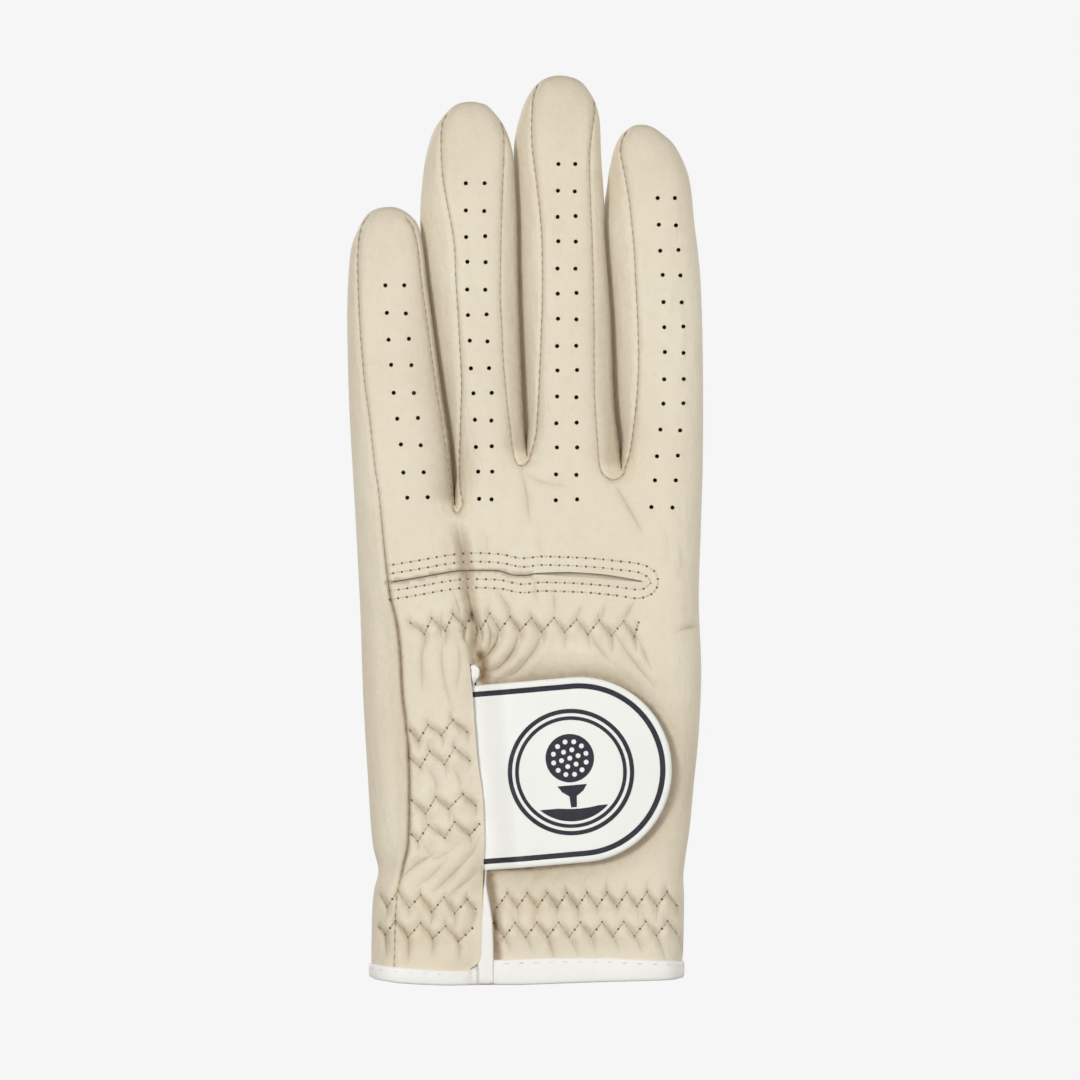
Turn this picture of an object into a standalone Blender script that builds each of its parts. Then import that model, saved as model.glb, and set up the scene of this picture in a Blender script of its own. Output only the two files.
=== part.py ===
"""Golf glove for the left hand, worn or stood upright: fingers along +Z, back of the hand
towards -Y, palm towards +Y, little finger towards -X. The origin is the centre of the wrist
opening, at the bottom of the cuff binding. Every leather piece is a thin shell cut from one
flattened tube per finger and one for the hand."""
import math

import bpy
import bmesh
from mathutils import Vector
from mathutils.geometry import delaunay_2d_cdt

MM = 0.001

# Driving dimensions, in millimetres
LEATHER = 0.8            # thickness of the leather as modelled
GAP = 0.4                # clearance between pieces sewn edge to edge
LAYER_GAP = 0.3          # clearance between pieces that lie on each other
LINING_GAP = 0.7         # clearance behind the leather, whose facets cut its curve short
HAND_POWER = 3.6         # how square the hand's cross-section is
FINGER_POWER = 2.5       # how square a finger's cross-section is
FINGER_DEPTH = 5.8       # half thickness of a finger, and depth of its flexing axis
FLEX_GAP = 0.2           # clearance on each side of a finger's flexing line
FLEX_INSET = 8.0         # distance of a flexing pivot from the finger's left edge
HAND_TOP = 129.8         # top of the hand's leather between the fingers
SMOOTH_ANGLE = math.radians(40.0)
BINDING_HEIGHT = 5.0     # height of the white tape round the wrist
BINDING_THICKNESS = 1.4
TAPE_WIDTH = 1.1         # visible width of the tape round the placket
ELASTIC_THICKNESS = 0.6
CUFF_BAND = (10.0, 23.5)     # lower and upper edge of the cuff's elastics
ELASTIC_PALM_EDGE = 33.0     # half width of the elastic on the palm side of the cuff
SLIT_WIDTH = 1.4         # opening of the vent across the knuckles
PLACKET_TOP = 77.0       # height at which the placket slit ends
PLACKET_LEFT = -12.3     # free edge of the flap
PLACKET_RIGHT = -6.8     # free edge of the back panel beside it
TAB_TILT = math.radians(5.0)
TAB_ROOT = (-12.0, 50.5)     # x and z of the middle of the tab's fold line
TAB_LENGTH = 47.6
TAB_WIDTH = 45.2
TAB_FOLD_DEPTH = 10.4    # distance of the tab's fold line from the middle of the glove
TAB_LAYER = (2.1, 3.1)       # undersides and faces of the layers, above the leather
FILM_LAYER = (3.4, 3.6)
HOOK_LAYER = (1.2, 1.8)
LOOP_LAYER = (0.3, 0.8)
TAB_ROOT_REACH = (-9.0, -1.4)    # the tab's root under the flap, along the tab
TAB_ROOT_HALF = 20.0
EMBLEM_CENTRE = 23.0     # distance of the emblem from the fold line
THUMB_TILT = math.radians(34.0)
THUMB_BASE = (21.0, 64.0)    # x and z of the middle of the thumb hole
THUMB_HOLE = (11.5, 18.0)    # half width and half length of the thumb hole
THUMB_OUTER = 18.8       # outermost height of the folded thumb above the glove's middle
THUMB_SPLIT = 14.0       # distance from the base at which the thumb bends
THUMB_ROOT_EDGE = 9.2    # height of the thumb's long edges at its root
THUMB_EDGE = 14.0        # and further along, above the palm
THUMB_UNDER = 4.6        # depth of the thumb's underside below those edges

# Hand: z, left edge, right edge, half thickness
HAND_STATIONS = [
    (0.0, -38.2, 38.2, 8.4),
    (12.0, -37.9, 38.6, 8.2),
    (28.0, -36.1, 38.4, 7.8),
    (50.0, -38.6, 41.0, 7.9),
    (76.0, -40.0, 42.9, 8.2),
    (94.0, -40.7, 42.2, 8.4),
    (114.0, -41.7, 42.8, 7.8),
    (130.0, -42.6, 43.2, 6.6),
]

# Seam on the little finger's side, where the palm leather is sewn to the back: z, x
SIDE_SEAM = [
    (0.0, -32.0),
    (29.0, -29.9),
    (54.0, -28.5),
    (89.0, -31.6),
    (120.0, -35.9),
    (140.0, -38.4),
    (162.0, -40.5),
    (180.0, -40.9),
    (190.0, -37.0),
]

# Fingers: height of the flexing line, then z, left edge, right edge up to the tip
FINGERS = {
    "little": (120.0, [
        (120.0, -42.0, -17.8), (132.0, -42.9, -18.6), (147.0, -43.4, -20.9), (162.0, -43.6, -23.1),
        (175.0, -43.2, -25.2), (182.0, -42.1, -26.1), (186.0, -40.4, -27.2), (188.8, -37.6, -29.6),
        (190.0, -34.6, -32.0)]),
    "ring": (130.0, [
        (130.0, -17.0, -0.5), (144.0, -18.8, -1.1), (161.0, -21.2, -1.8), (179.0, -24.8, -2.5),
        (190.0, -25.6, -2.9), (202.0, -24.5, -3.6), (208.5, -22.4, -5.1), (213.0, -18.9, -8.4),
        (215.6, -15.4, -12.6)]),
    "middle": (130.0, [
        (130.0, 0.8, 22.4), (144.0, 0.2, 21.0), (161.0, -0.7, 20.2), (179.0, -1.2, 19.0),
        (196.0, -2.0, 18.5), (207.0, -2.4, 18.2), (214.5, -0.8, 17.2), (219.0, 2.0, 14.8),
        (222.0, 6.8, 10.4)]),
    "index": (128.0, [
        (128.0, 23.9, 43.2), (144.0, 22.5, 43.2), (161.0, 21.6, 43.0), (177.0, 20.4, 42.2),
        (190.0, 19.7, 40.8), (199.0, 20.6, 39.3), (205.5, 22.4, 35.9), (208.5, 24.5, 32.6),
        (210.0, 27.0, 29.8)]),
}

# Width of the side strip seen from the back, left and right; zero where the leather is folded
STRIP_WIDTHS = {
    "little": (0.0, 1.6),
    "ring": (3.6, 2.6),
    "middle": (3.6, 2.8),
    "index": (4.4, 0.0),
}

COLOURS = {
    "cream_leather": ((0.74, 0.65, 0.50), 0.55),
    "palm_leather": ((0.72, 0.64, 0.50), 0.6),
    "white_synthetic": ((0.88, 0.88, 0.84), 0.5),
    "navy_film": ((0.03, 0.03, 0.05), 0.5),
    "elastic_webbing": ((0.80, 0.77, 0.70), 0.9),
    "hook_tape": ((0.82, 0.80, 0.74), 0.8),
    "loop_tape": ((0.80, 0.76, 0.68), 0.95),
}


def clear_scene():
    """Removes whatever the file opened with."""
    for item in list(bpy.data.objects):
        bpy.data.objects.remove(item, do_unlink=True)


def material(slot):
    """One Principled material per slot, made once."""
    found = bpy.data.materials.get(slot)
    if found:
        return found
    colour, roughness = COLOURS[slot]
    made = bpy.data.materials.new(slot)
    made.use_nodes = True
    shader = made.node_tree.nodes["Principled BSDF"]
    shader.inputs["Base Color"].default_value = (*colour, 1.0)
    shader.inputs["Roughness"].default_value = roughness
    return made


def table_value(table, z, column):
    """Value of a station table at height z, on a straight line between its rows."""
    if z <= table[0][0]:
        return table[0][column]
    for low, high in zip(table, table[1:]):
        if z <= high[0]:
            t = (z - low[0]) / (high[0] - low[0])
            return low[column] + t * (high[column] - low[column])
    return table[-1][column]


def hand_section(z):
    """Middle, half width and half thickness of the hand at height z."""
    left = table_value(HAND_STATIONS, z, 1)
    right = table_value(HAND_STATIONS, z, 2)
    return (left + right) / 2, (right - left) / 2, table_value(HAND_STATIONS, z, 3)


def finger_section(stations, z):
    """Middle, half width and half thickness of a finger at height z; it closes at the tip."""
    left = table_value(stations, z, 1)
    right = table_value(stations, z, 2)
    half = (right - left) / 2
    fullness = min(1.0, half / 9.0)
    return (left + right) / 2, half, FINGER_DEPTH * (1 - (1 - fullness) ** 2) ** 0.5


def oval_point(section, angle, grow, power):
    """Point of a rounded oval. Angle 0 is the +X side; the back (-Y) comes before pi."""
    middle, half, depth = section
    c = math.cos(angle)
    s = math.sin(angle)
    x = middle + (half + grow) * math.copysign(abs(c) ** (2 / power), c)
    y = -(depth + grow) * math.copysign(abs(s) ** (2 / power), s)
    return x, y


def angle_on_back(section, x, power):
    """Angle at which the oval passes x on the back of the hand."""
    middle, half, _ = section
    u = max(-1.0, min(1.0, (x - middle) / half))
    return math.acos(math.copysign(abs(u) ** (power / 2), u))


def slice_angles(section, start, end, count, power, trim):
    """Angles of evenly spaced points from start to end, kept trim away from both ends."""
    fine = 160
    angles = [start + (end - start) * i / fine for i in range(fine + 1)]
    points = [oval_point(section, angle, 0.0, power) for angle in angles]
    lengths = [0.0]
    for a, b in zip(points, points[1:]):
        lengths.append(lengths[-1] + math.hypot(b[0] - a[0], b[1] - a[1]))
    total = lengths[-1]
    inset = min(trim, total * 0.3)
    found = []
    k = 0
    for i in range(count):
        goal = inset + (total - 2 * inset) * i / (count - 1)
        while k < fine - 1 and lengths[k + 1] < goal:
            k += 1
        step = max(lengths[k + 1] - lengths[k], 1e-9)
        t = (goal - lengths[k]) / step
        found.append(angles[k] + t * (angles[k + 1] - angles[k]))
    return found


def add_object(name, mesh, slot):
    """Puts a mesh in the scene under its name, with its material."""
    mesh.materials.append(material(slot))
    mesh.shade_smooth()
    mesh.set_sharp_from_angle(angle=SMOOTH_ANGLE)
    made = bpy.data.objects.new(name, mesh)
    bpy.context.scene.collection.objects.link(made)
    return made


def shell_from_rows(name, outer, inner, slot):
    """Closed shell between two grids of points, given in millimetres."""
    rows = len(outer)
    columns = len(outer[0])
    build = bmesh.new()
    front = [[build.verts.new(Vector(p) * MM) for p in row] for row in outer]
    back = [[build.verts.new(Vector(p) * MM) for p in row] for row in inner]
    for i in range(rows - 1):
        for j in range(columns - 1):
            build.faces.new((front[i][j], front[i][j + 1], front[i + 1][j + 1], front[i + 1][j]))
            build.faces.new((back[i][j], back[i + 1][j], back[i + 1][j + 1], back[i][j + 1]))
    rim = [(0, j) for j in range(columns)] + [(i, columns - 1) for i in range(1, rows)]
    rim += [(rows - 1, j) for j in range(columns - 2, -1, -1)]
    rim += [(i, 0) for i in range(rows - 2, 0, -1)]
    for (i, j), (k, m) in zip(rim, rim[1:] + rim[:1]):
        build.faces.new((front[i][j], back[i][j], back[k][m], front[k][m]))
    bmesh.ops.recalc_face_normals(build, faces=build.faces)
    if build.calc_volume(signed=True) < 0:
        bmesh.ops.reverse_faces(build, faces=build.faces)
    mesh = bpy.data.meshes.new(name)
    build.to_mesh(mesh)
    build.free()
    return add_object(name, mesh, slot)


def tube_shell(name, heights, section_at, span_at, columns, power, slot, grow=0.0,
               thickness=LEATHER, trim=GAP / 2):
    """Shell cut from a tube: span_at gives its first and last angle at each height."""
    outer = []
    inner = []
    for z in heights:
        section = section_at(z)
        start, end = span_at(z, section)
        angles = slice_angles(section, start, end, columns, power, trim)
        wall = min(thickness, section[1] * 0.45, section[2] * 0.45)
        outer.append([(*oval_point(section, a, grow, power), z) for a in angles])
        inner.append([(*oval_point(section, a, grow - wall, power), z) for a in angles])
    return shell_from_rows(name, outer, inner, slot)


def spaced(low, high, count):
    """Evenly spaced values from low to high."""
    return [low + (high - low) * i / (count - 1) for i in range(count)]


def cutter(name, corners_low, corners_high):
    """Box that cuts, in millimetres. It isn't part of the glove."""
    build = bmesh.new()
    bmesh.ops.create_cube(build, size=1.0)
    low = Vector(corners_low)
    high = Vector(corners_high)
    for vert in build.verts:
        vert.co = Vector([low[k] + (vert.co[k] + 0.5) * (high[k] - low[k]) for k in range(3)]) * MM
    mesh = bpy.data.meshes.new(name)
    build.to_mesh(mesh)
    build.free()
    made = bpy.data.objects.new(name, mesh)
    bpy.context.scene.collection.objects.link(made)
    made.hide_render = True
    made.display_type = "WIRE"
    return made


def prism_cutter(name, outline, y_low, y_high):
    """Upright prism along Y from an outline of (x, z) points, in millimetres."""
    build = bmesh.new()
    near = [build.verts.new(Vector((x, y_low, z)) * MM) for x, z in outline]
    far = [build.verts.new(Vector((x, y_high, z)) * MM) for x, z in outline]
    build.faces.new(near)
    build.faces.new(list(reversed(far)))
    count = len(outline)
    for i in range(count):
        j = (i + 1) % count
        build.faces.new((near[i], far[i], far[j], near[j]))
    bmesh.ops.recalc_face_normals(build, faces=build.faces)
    mesh = bpy.data.meshes.new(name)
    build.to_mesh(mesh)
    build.free()
    made = bpy.data.objects.new(name, mesh)
    bpy.context.scene.collection.objects.link(made)
    made.hide_render = True
    made.display_type = "WIRE"
    return made


def cut(target, tools):
    """Takes each tool away from the target with a Boolean modifier."""
    for tool in tools:
        step = target.modifiers.new("cut_" + tool.name, "BOOLEAN")
        step.operation = "DIFFERENCE"
        step.solver = "EXACT"
        step.object = tool


def surface_height(x, z):
    """Height of the hand's back surface above its middle plane at x, z."""
    middle, half, depth = hand_section(z)
    u = min(0.97, abs(x - middle) / half)
    return depth * (1 - u ** HAND_POWER) ** (1 / HAND_POWER)


def patch(name, outline, slot, low, high, holes=(), spacing=6.0, height_at=surface_height):
    """Plate over the back of the hand: outline in (x, z), between two heights above the
    leather's outer face. Holes are further outlines that stay open."""
    loops = [outline] + list(holes)
    points = []
    edges = []
    for loop in loops:
        first = len(points)
        for k, (x, z) in enumerate(loop):
            points.append(Vector((x, z)))
            edges.append((first + k, first + (k + 1) % len(loop)))
    xs = [p.x for p in points]
    zs = [p.y for p in points]

    def clear_of_edges(x, z):
        for i, j in edges:
            a = points[i]
            b = points[j]
            along = (Vector((x, z)) - a).dot(b - a) / max((b - a).length_squared, 1e-9)
            nearest = a + (b - a) * max(0.0, min(1.0, along))
            if (Vector((x, z)) - nearest).length < spacing * 0.45:
                return False
        return True

    inner = []
    z = min(zs) + spacing
    while z < max(zs):
        x = min(xs) + spacing
        while x < max(xs):
            if clear_of_edges(x, z):
                inner.append(Vector((x, z)))
            x += spacing
        z += spacing
    verts, _, faces, _, _, _ = delaunay_2d_cdt(points + inner, edges, [], 0, 1e-5)

    def inside(loop, x, z):
        hit = False
        for (xa, za), (xb, zb) in zip(loop, loop[1:] + loop[:1]):
            if (za > z) != (zb > z) and x < xa + (z - za) / (zb - za) * (xb - xa):
                hit = not hit
        return hit

    kept = []
    for face in faces:
        cx = sum(verts[i].x for i in face) / 3
        cz = sum(verts[i].y for i in face) / 3
        if inside(outline, cx, cz) and not any(inside(list(hole), cx, cz) for hole in holes):
            kept.append(face)
    used = sorted({i for face in kept for i in face})
    build = bmesh.new()
    front = {}
    back = {}
    for i in used:
        x, z = verts[i]
        y = height_at(x, z)
        front[i] = build.verts.new(Vector((x, -(y + high), z)) * MM)
        back[i] = build.verts.new(Vector((x, -(y + low), z)) * MM)
    seen = {}
    for a, b, c in kept:
        build.faces.new((front[a], front[b], front[c]))
        build.faces.new((back[c], back[b], back[a]))
        for i, j in ((a, b), (b, c), (c, a)):
            seen[(i, j)] = True
    for i, j in seen:
        if (j, i) not in seen:
            build.faces.new((front[j], front[i], back[i], back[j]))
    bmesh.ops.recalc_face_normals(build, faces=build.faces)
    if build.calc_volume(signed=True) < 0:
        bmesh.ops.reverse_faces(build, faces=build.faces)
    mesh = bpy.data.meshes.new(name)
    build.to_mesh(mesh)
    build.free()
    return add_object(name, mesh, slot)


def strip_spans(name):
    """Span functions of a finger's back, palm and side strips, by piece."""
    left_width, right_width = STRIP_WIDTHS[name]

    def seam_angles(z, section):
        middle, half, _ = section
        right_x = middle + half - min(right_width, half * 0.5)
        left_x = middle - half + min(left_width, half * 0.5)
        if name == "little":
            left_x = max(table_value(SIDE_SEAM, z, 1), middle - half * 0.85)
        right = angle_on_back(section, right_x, FINGER_POWER) if right_width else 0.0
        left = angle_on_back(section, left_x, FINGER_POWER)
        return right, left

    def back(z, section):
        return seam_angles(z, section)

    def palm(z, section):
        right, left = seam_angles(z, section)
        first = left if name == "little" else 2 * math.pi - left
        return first, 2 * math.pi - right

    def left_strip(z, section):
        _, left = seam_angles(z, section)
        return left, 2 * math.pi - left

    def right_strip(z, section):
        right, _ = seam_angles(z, section)
        return -right, right

    return back, palm, left_strip, right_strip


def make_finger(name):
    """Back, palm and side strips of one finger, above its flexing line."""
    base, stations = FINGERS[name]
    heights = [base + FLEX_GAP]
    for low, high in zip(stations, stations[1:]):
        steps = 2 if high[0] - low[0] > 9 else 1
        heights += [low[0] + (high[0] - low[0]) * (k + 1) / steps for k in range(steps)]

    def section_at(z):
        return finger_section(stations, z)

    back, palm, left_strip, right_strip = strip_spans(name)
    made = [
        tube_shell(name + "_finger_back", heights, section_at, back, 7, FINGER_POWER,
                   "cream_leather"),
        tube_shell(name + "_finger_palm", heights, section_at, palm, 8, FINGER_POWER,
                   "palm_leather"),
    ]
    left_width, right_width = STRIP_WIDTHS[name]
    if left_width:
        made.append(tube_shell(name + "_fourchette_outer", heights, section_at, left_strip, 5,
                               FINGER_POWER, "cream_leather"))
    if right_width:
        made.append(tube_shell(name + "_fourchette_inner", heights, section_at, right_strip, 5,
                               FINGER_POWER, "cream_leather"))
    pivot = Vector((stations[0][1] + FLEX_INSET, FINGER_DEPTH, base)) * MM
    hinge = bpy.data.objects.new(name + "_flex", None)
    hinge.location = pivot
    bpy.context.scene.collection.objects.link(hinge)
    bpy.context.view_layer.update()
    for piece in made:
        piece.parent = hinge
        piece.matrix_parent_inverse = hinge.matrix_world.inverted()


def seam_span(z, section):
    """From the fold on the index side over the back to the side seam."""
    return 0.0, angle_on_back(section, table_value(SIDE_SEAM, z, 1), HAND_POWER)


def palm_span(z, section):
    """From the side seam round the little finger's side and over the palm to the fold."""
    return angle_on_back(section, table_value(SIDE_SEAM, z, 1), HAND_POWER), 2 * math.pi


def crotch_cutters():
    """Tools for the steps and slots at the top of the hand, between the fingers."""
    far = 30.0
    tall = 200.0
    wide = 60.0
    little_top = FINGERS["little"][0] - FLEX_GAP
    index_top = FINGERS["index"][0] - FLEX_GAP
    tools = [
        cutter("step_little", (-wide, -far, little_top), (-17.3, far, tall)),
        cutter("step_index", (23.6, -far, index_top), (wide, far, tall)),
        cutter("slot_little_ring", (-17.9, -far, 116.4), (-17.0, far, tall)),
        cutter("slot_ring_middle", (-0.5, -far, 127.4), (0.8, far, tall)),
        cutter("slot_middle_index", (22.4, -far, 123.8), (23.9, far, tall)),
    ]
    return tools


def make_hand():
    """Back panel and palm of the hand, with their openings."""
    low = BINDING_HEIGHT + GAP
    heights = spaced(low, HAND_TOP, 17)
    back = tube_shell("back_panel", heights, hand_section, seam_span, 15, HAND_POWER,
                      "cream_leather")
    palm = tube_shell("palm_panel", heights, hand_section, palm_span, 19, HAND_POWER,
                      "palm_leather")
    top_tools = crotch_cutters()
    vent = prism_cutter("vent_tool", [
        (-33.0, 98.0), (-16.0, 100.6), (0.0, 100.2), (15.0, 100.0), (28.3, 98.2), (28.3, 98.8),
        (15.0, 100.2 + SLIT_WIDTH), (0.0, 100.4 + SLIT_WIDTH), (-16.0, 100.8 + SLIT_WIDTH),
        (-33.0, 98.4 + SLIT_WIDTH)], -20.0, 0.0)
    placket = prism_cutter("placket_tool", [
        (PLACKET_LEFT + 1.0, -5.0), (PLACKET_RIGHT + 0.4, -5.0), (PLACKET_RIGHT, 30.0),
        (PLACKET_RIGHT, PLACKET_TOP - 2), (PLACKET_RIGHT - 1, PLACKET_TOP),
        (PLACKET_LEFT - 0.6, PLACKET_TOP), (PLACKET_LEFT - 1.6, PLACKET_TOP - 2),
        (PLACKET_LEFT, 56.0), (PLACKET_LEFT + 1.6, 40.0)], -20.0, 0.0)
    cut(back, top_tools + [vent, placket])
    hole = thumb_hole_cutter()
    cut(palm, top_tools + [hole])


def thumb_frame(s, e, y):
    """Point at distance s along the thumb, e across it and height y, in millimetres."""
    x = THUMB_BASE[0] - s * math.sin(THUMB_TILT) + e * math.cos(THUMB_TILT)
    z = THUMB_BASE[1] + s * math.cos(THUMB_TILT) + e * math.sin(THUMB_TILT)
    return x, y, z


def thumb_hole_cutter():
    """Oval tool for the hole in the palm that the thumb is set into."""
    count = 20
    outline = []
    for k in range(count):
        angle = 2 * math.pi * k / count
        x, _, z = thumb_frame(THUMB_HOLE[1] * math.sin(angle), THUMB_HOLE[0] * math.cos(angle), 0)
        outline.append((x, z))
    return prism_cutter("thumb_hole_tool", outline, 0.5, 30.0)


def thumb_half_width(s):
    """Half width of the thumb at distance s from the middle of its hole."""
    table = [(-21.0, 4.0), (-17.0, 10.0), (-8.0, 14.8), (4.0, 15.4), (20.0, 13.4), (36.0, 12.0),
             (46.0, 11.2), (52.0, 9.2), (56.0, 6.0), (58.0, 2.6)]
    return table_value(table, s, 1)


def thumb_shell(name, distances, outer_side, floor_at, slot):
    """Half of the thumb's tube. floor_at gives the height at which its long edges lie."""
    columns = 9
    outer = []
    inner = []
    for s in distances:
        half = thumb_half_width(s)
        full = min(1.0, half / 10.0)
        crown = (1 - (1 - full) ** 2) ** 0.5
        floor = floor_at(s)
        reach = (THUMB_OUTER - floor) * crown if outer_side else -THUMB_UNDER * crown
        wall = min(LEATHER, half * 0.4)
        row_out = []
        row_in = []
        for j in range(columns):
            angle = math.pi * j / (columns - 1)
            c = math.cos(angle)
            wide = math.copysign(abs(c) ** 0.85, c)
            tall = math.sin(angle) ** 0.85
            shrink = math.copysign(max(abs(reach) - wall, 0.3), reach)
            row_out.append(thumb_frame(s, half * wide, floor + reach * tall))
            row_in.append(thumb_frame(s, (half - wall) * wide, floor + shrink * tall))
        outer.append(row_out)
        inner.append(row_in)
    return shell_from_rows(name, outer, inner, slot)


def make_thumb():
    """Thumb folded over the palm: its root stays with the palm, the rest swings out."""

    def outer_floor(s):
        t = max(0.0, min(1.0, (s - 12.0) / 10.0))
        return THUMB_ROOT_EDGE + (THUMB_EDGE + GAP / 2 - THUMB_ROOT_EDGE) * t

    thumb_shell("thumb_root", spaced(-21.0, THUMB_SPLIT - GAP / 2, 7), True, outer_floor,
                "palm_leather")
    distances = spaced(THUMB_SPLIT + GAP / 2, 46.0, 5) + [52.0, 56.0, 58.0]
    outer = thumb_shell("thumb_outer", distances, True, outer_floor, "palm_leather")
    under = spaced(28.0, 46.0, 3) + [52.0, 56.0, 58.0]
    inner = thumb_shell("thumb_inner", under, False, lambda s: THUMB_EDGE - GAP / 2,
                        "palm_leather")
    hinge = bpy.data.objects.new("thumb_swing", None)
    hinge.location = Vector(thumb_frame(THUMB_SPLIT, 0.0, THUMB_OUTER + 0.1)) * MM
    bpy.context.scene.collection.objects.link(hinge)
    bpy.context.view_layer.update()
    for piece in (outer, inner):
        piece.parent = hinge
        piece.matrix_parent_inverse = hinge.matrix_world.inverted()


def make_bindings():
    """White tape round the wrist edge, and round the edges of the placket."""

    def open_ring(z, section):
        start = angle_on_back(section, PLACKET_LEFT + 0.9, HAND_POWER)
        end = 2 * math.pi + angle_on_back(section, PLACKET_RIGHT + 0.9, HAND_POWER)
        return start, end

    tube_shell("cuff_binding", [0.0, BINDING_HEIGHT], hand_section, open_ring, 33, HAND_POWER,
               "white_synthetic", grow=0.3, thickness=BINDING_THICKNESS, trim=0.0)
    width = TAPE_WIDTH
    left = PLACKET_LEFT + LAYER_GAP
    right = PLACKET_RIGHT - LAYER_GAP
    foot = BINDING_HEIGHT + GAP
    outline = [
        (left + 1.5, foot), (left + 1.5 + width, foot), (left + 1.7 + width, 40.0),
        (left + width, 56.0), (left + width - 1.0, 73.8), (right - width - 0.4, 73.8),
        (right - width, 30.0), (right - width + 0.3, foot), (right + 0.3, foot), (right, 30.0),
        (right, 74.5), (right - 1.2, 76.6), (left, 76.6), (left - 1.2, 74.8), (left, 56.0),
        (left + 1.7, 40.0)]
    patch("placket_binding", outline, "white_synthetic", -1.1, 0.3, spacing=12.0)


def elastic(name, low, high, first, last, rows=2, columns=9):
    """Flat elastic behind the leather, from x first to x last over the back of the hand."""
    behind = LEATHER + LINING_GAP

    def span(z, section):
        start = angle_on_back(section, last, HAND_POWER)
        end = angle_on_back(section, first, HAND_POWER)
        return start, end

    return tube_shell(name, spaced(low, high, rows), hand_section, span, columns, HAND_POWER,
                      "elastic_webbing", grow=-behind, thickness=ELASTIC_THICKNESS, trim=0.0)


def make_elastics():
    """The elastics that gather the knuckles, the flap and the cuff."""
    elastic("knuckle_elastic", 83.5, 91.5, -28.0, 27.0, columns=12)
    elastic("flap_elastic_upper", 52.0, 65.5, -27.6, -14.4, rows=3, columns=5)
    elastic("flap_elastic_lower", 34.0, 47.5, -27.6, -14.4, rows=3, columns=5)
    elastic("cuff_elastic_flap", *CUFF_BAND, -29.2, -13.2, rows=3, columns=5)
    elastic("cuff_elastic_back", *CUFF_BAND, -5.4, 36.0, rows=3, columns=11)

    def palm_side(z, section):
        start = 2 * math.pi - angle_on_back(section, -ELASTIC_PALM_EDGE, HAND_POWER)
        end = 2 * math.pi - angle_on_back(section, ELASTIC_PALM_EDGE, HAND_POWER)
        return start, end

    tube_shell("cuff_elastic_palm", spaced(*CUFF_BAND, 3), hand_section, palm_side, 15, HAND_POWER,
               "elastic_webbing", grow=-(LEATHER + LINING_GAP), thickness=ELASTIC_THICKNESS,
               trim=0.0)


def make_vent_facing():
    """Strip behind the knuckle vent that its stitching holds."""

    def span(z, section):
        return angle_on_back(section, 31.6, HAND_POWER), angle_on_back(section, -31.0, HAND_POWER)

    tube_shell("vent_facing", [94.4, 99.5, 104.6], hand_section, span, 13, HAND_POWER,
               "cream_leather", grow=-(LEATHER + LINING_GAP), thickness=ELASTIC_THICKNESS,
               trim=0.0)


def tab_outline(inset, start):
    """Outline of the tab: straight sides and a round end, inset all round from its edge."""
    radius = TAB_WIDTH / 2 - inset
    centre = TAB_LENGTH - TAB_WIDTH / 2
    local = [(start, radius), (start, -radius)]
    steps = 16
    for k in range(steps + 1):
        angle = -math.pi / 2 + math.pi * k / steps
        local.append((centre + radius * math.cos(angle), radius * math.sin(angle)))
    return [tab_point(along, across) for along, across in local]


def tab_point(along, across):
    """Point on the glove at a place on the tab, measured from the middle of its fold."""
    c = math.cos(TAB_TILT)
    s = math.sin(TAB_TILT)
    return TAB_ROOT[0] + along * c - across * s, TAB_ROOT[1] + along * s + across * c


def ring_outline(radius, along, across, count):
    """Round outline on the tab."""
    turn = 2 * math.pi / count
    return [tab_point(along + radius * math.cos(k * turn), across + radius * math.sin(k * turn))
            for k in range(count)]


def tab_height(x, z):
    """Height of the leather under the tab; the tab's ends bridge it in a smooth arch."""
    middle, half, depth = hand_section(50.0)
    u = abs(x - middle) / half
    return depth * (1 - u ** HAND_POWER) ** (1 / HAND_POWER)


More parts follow.
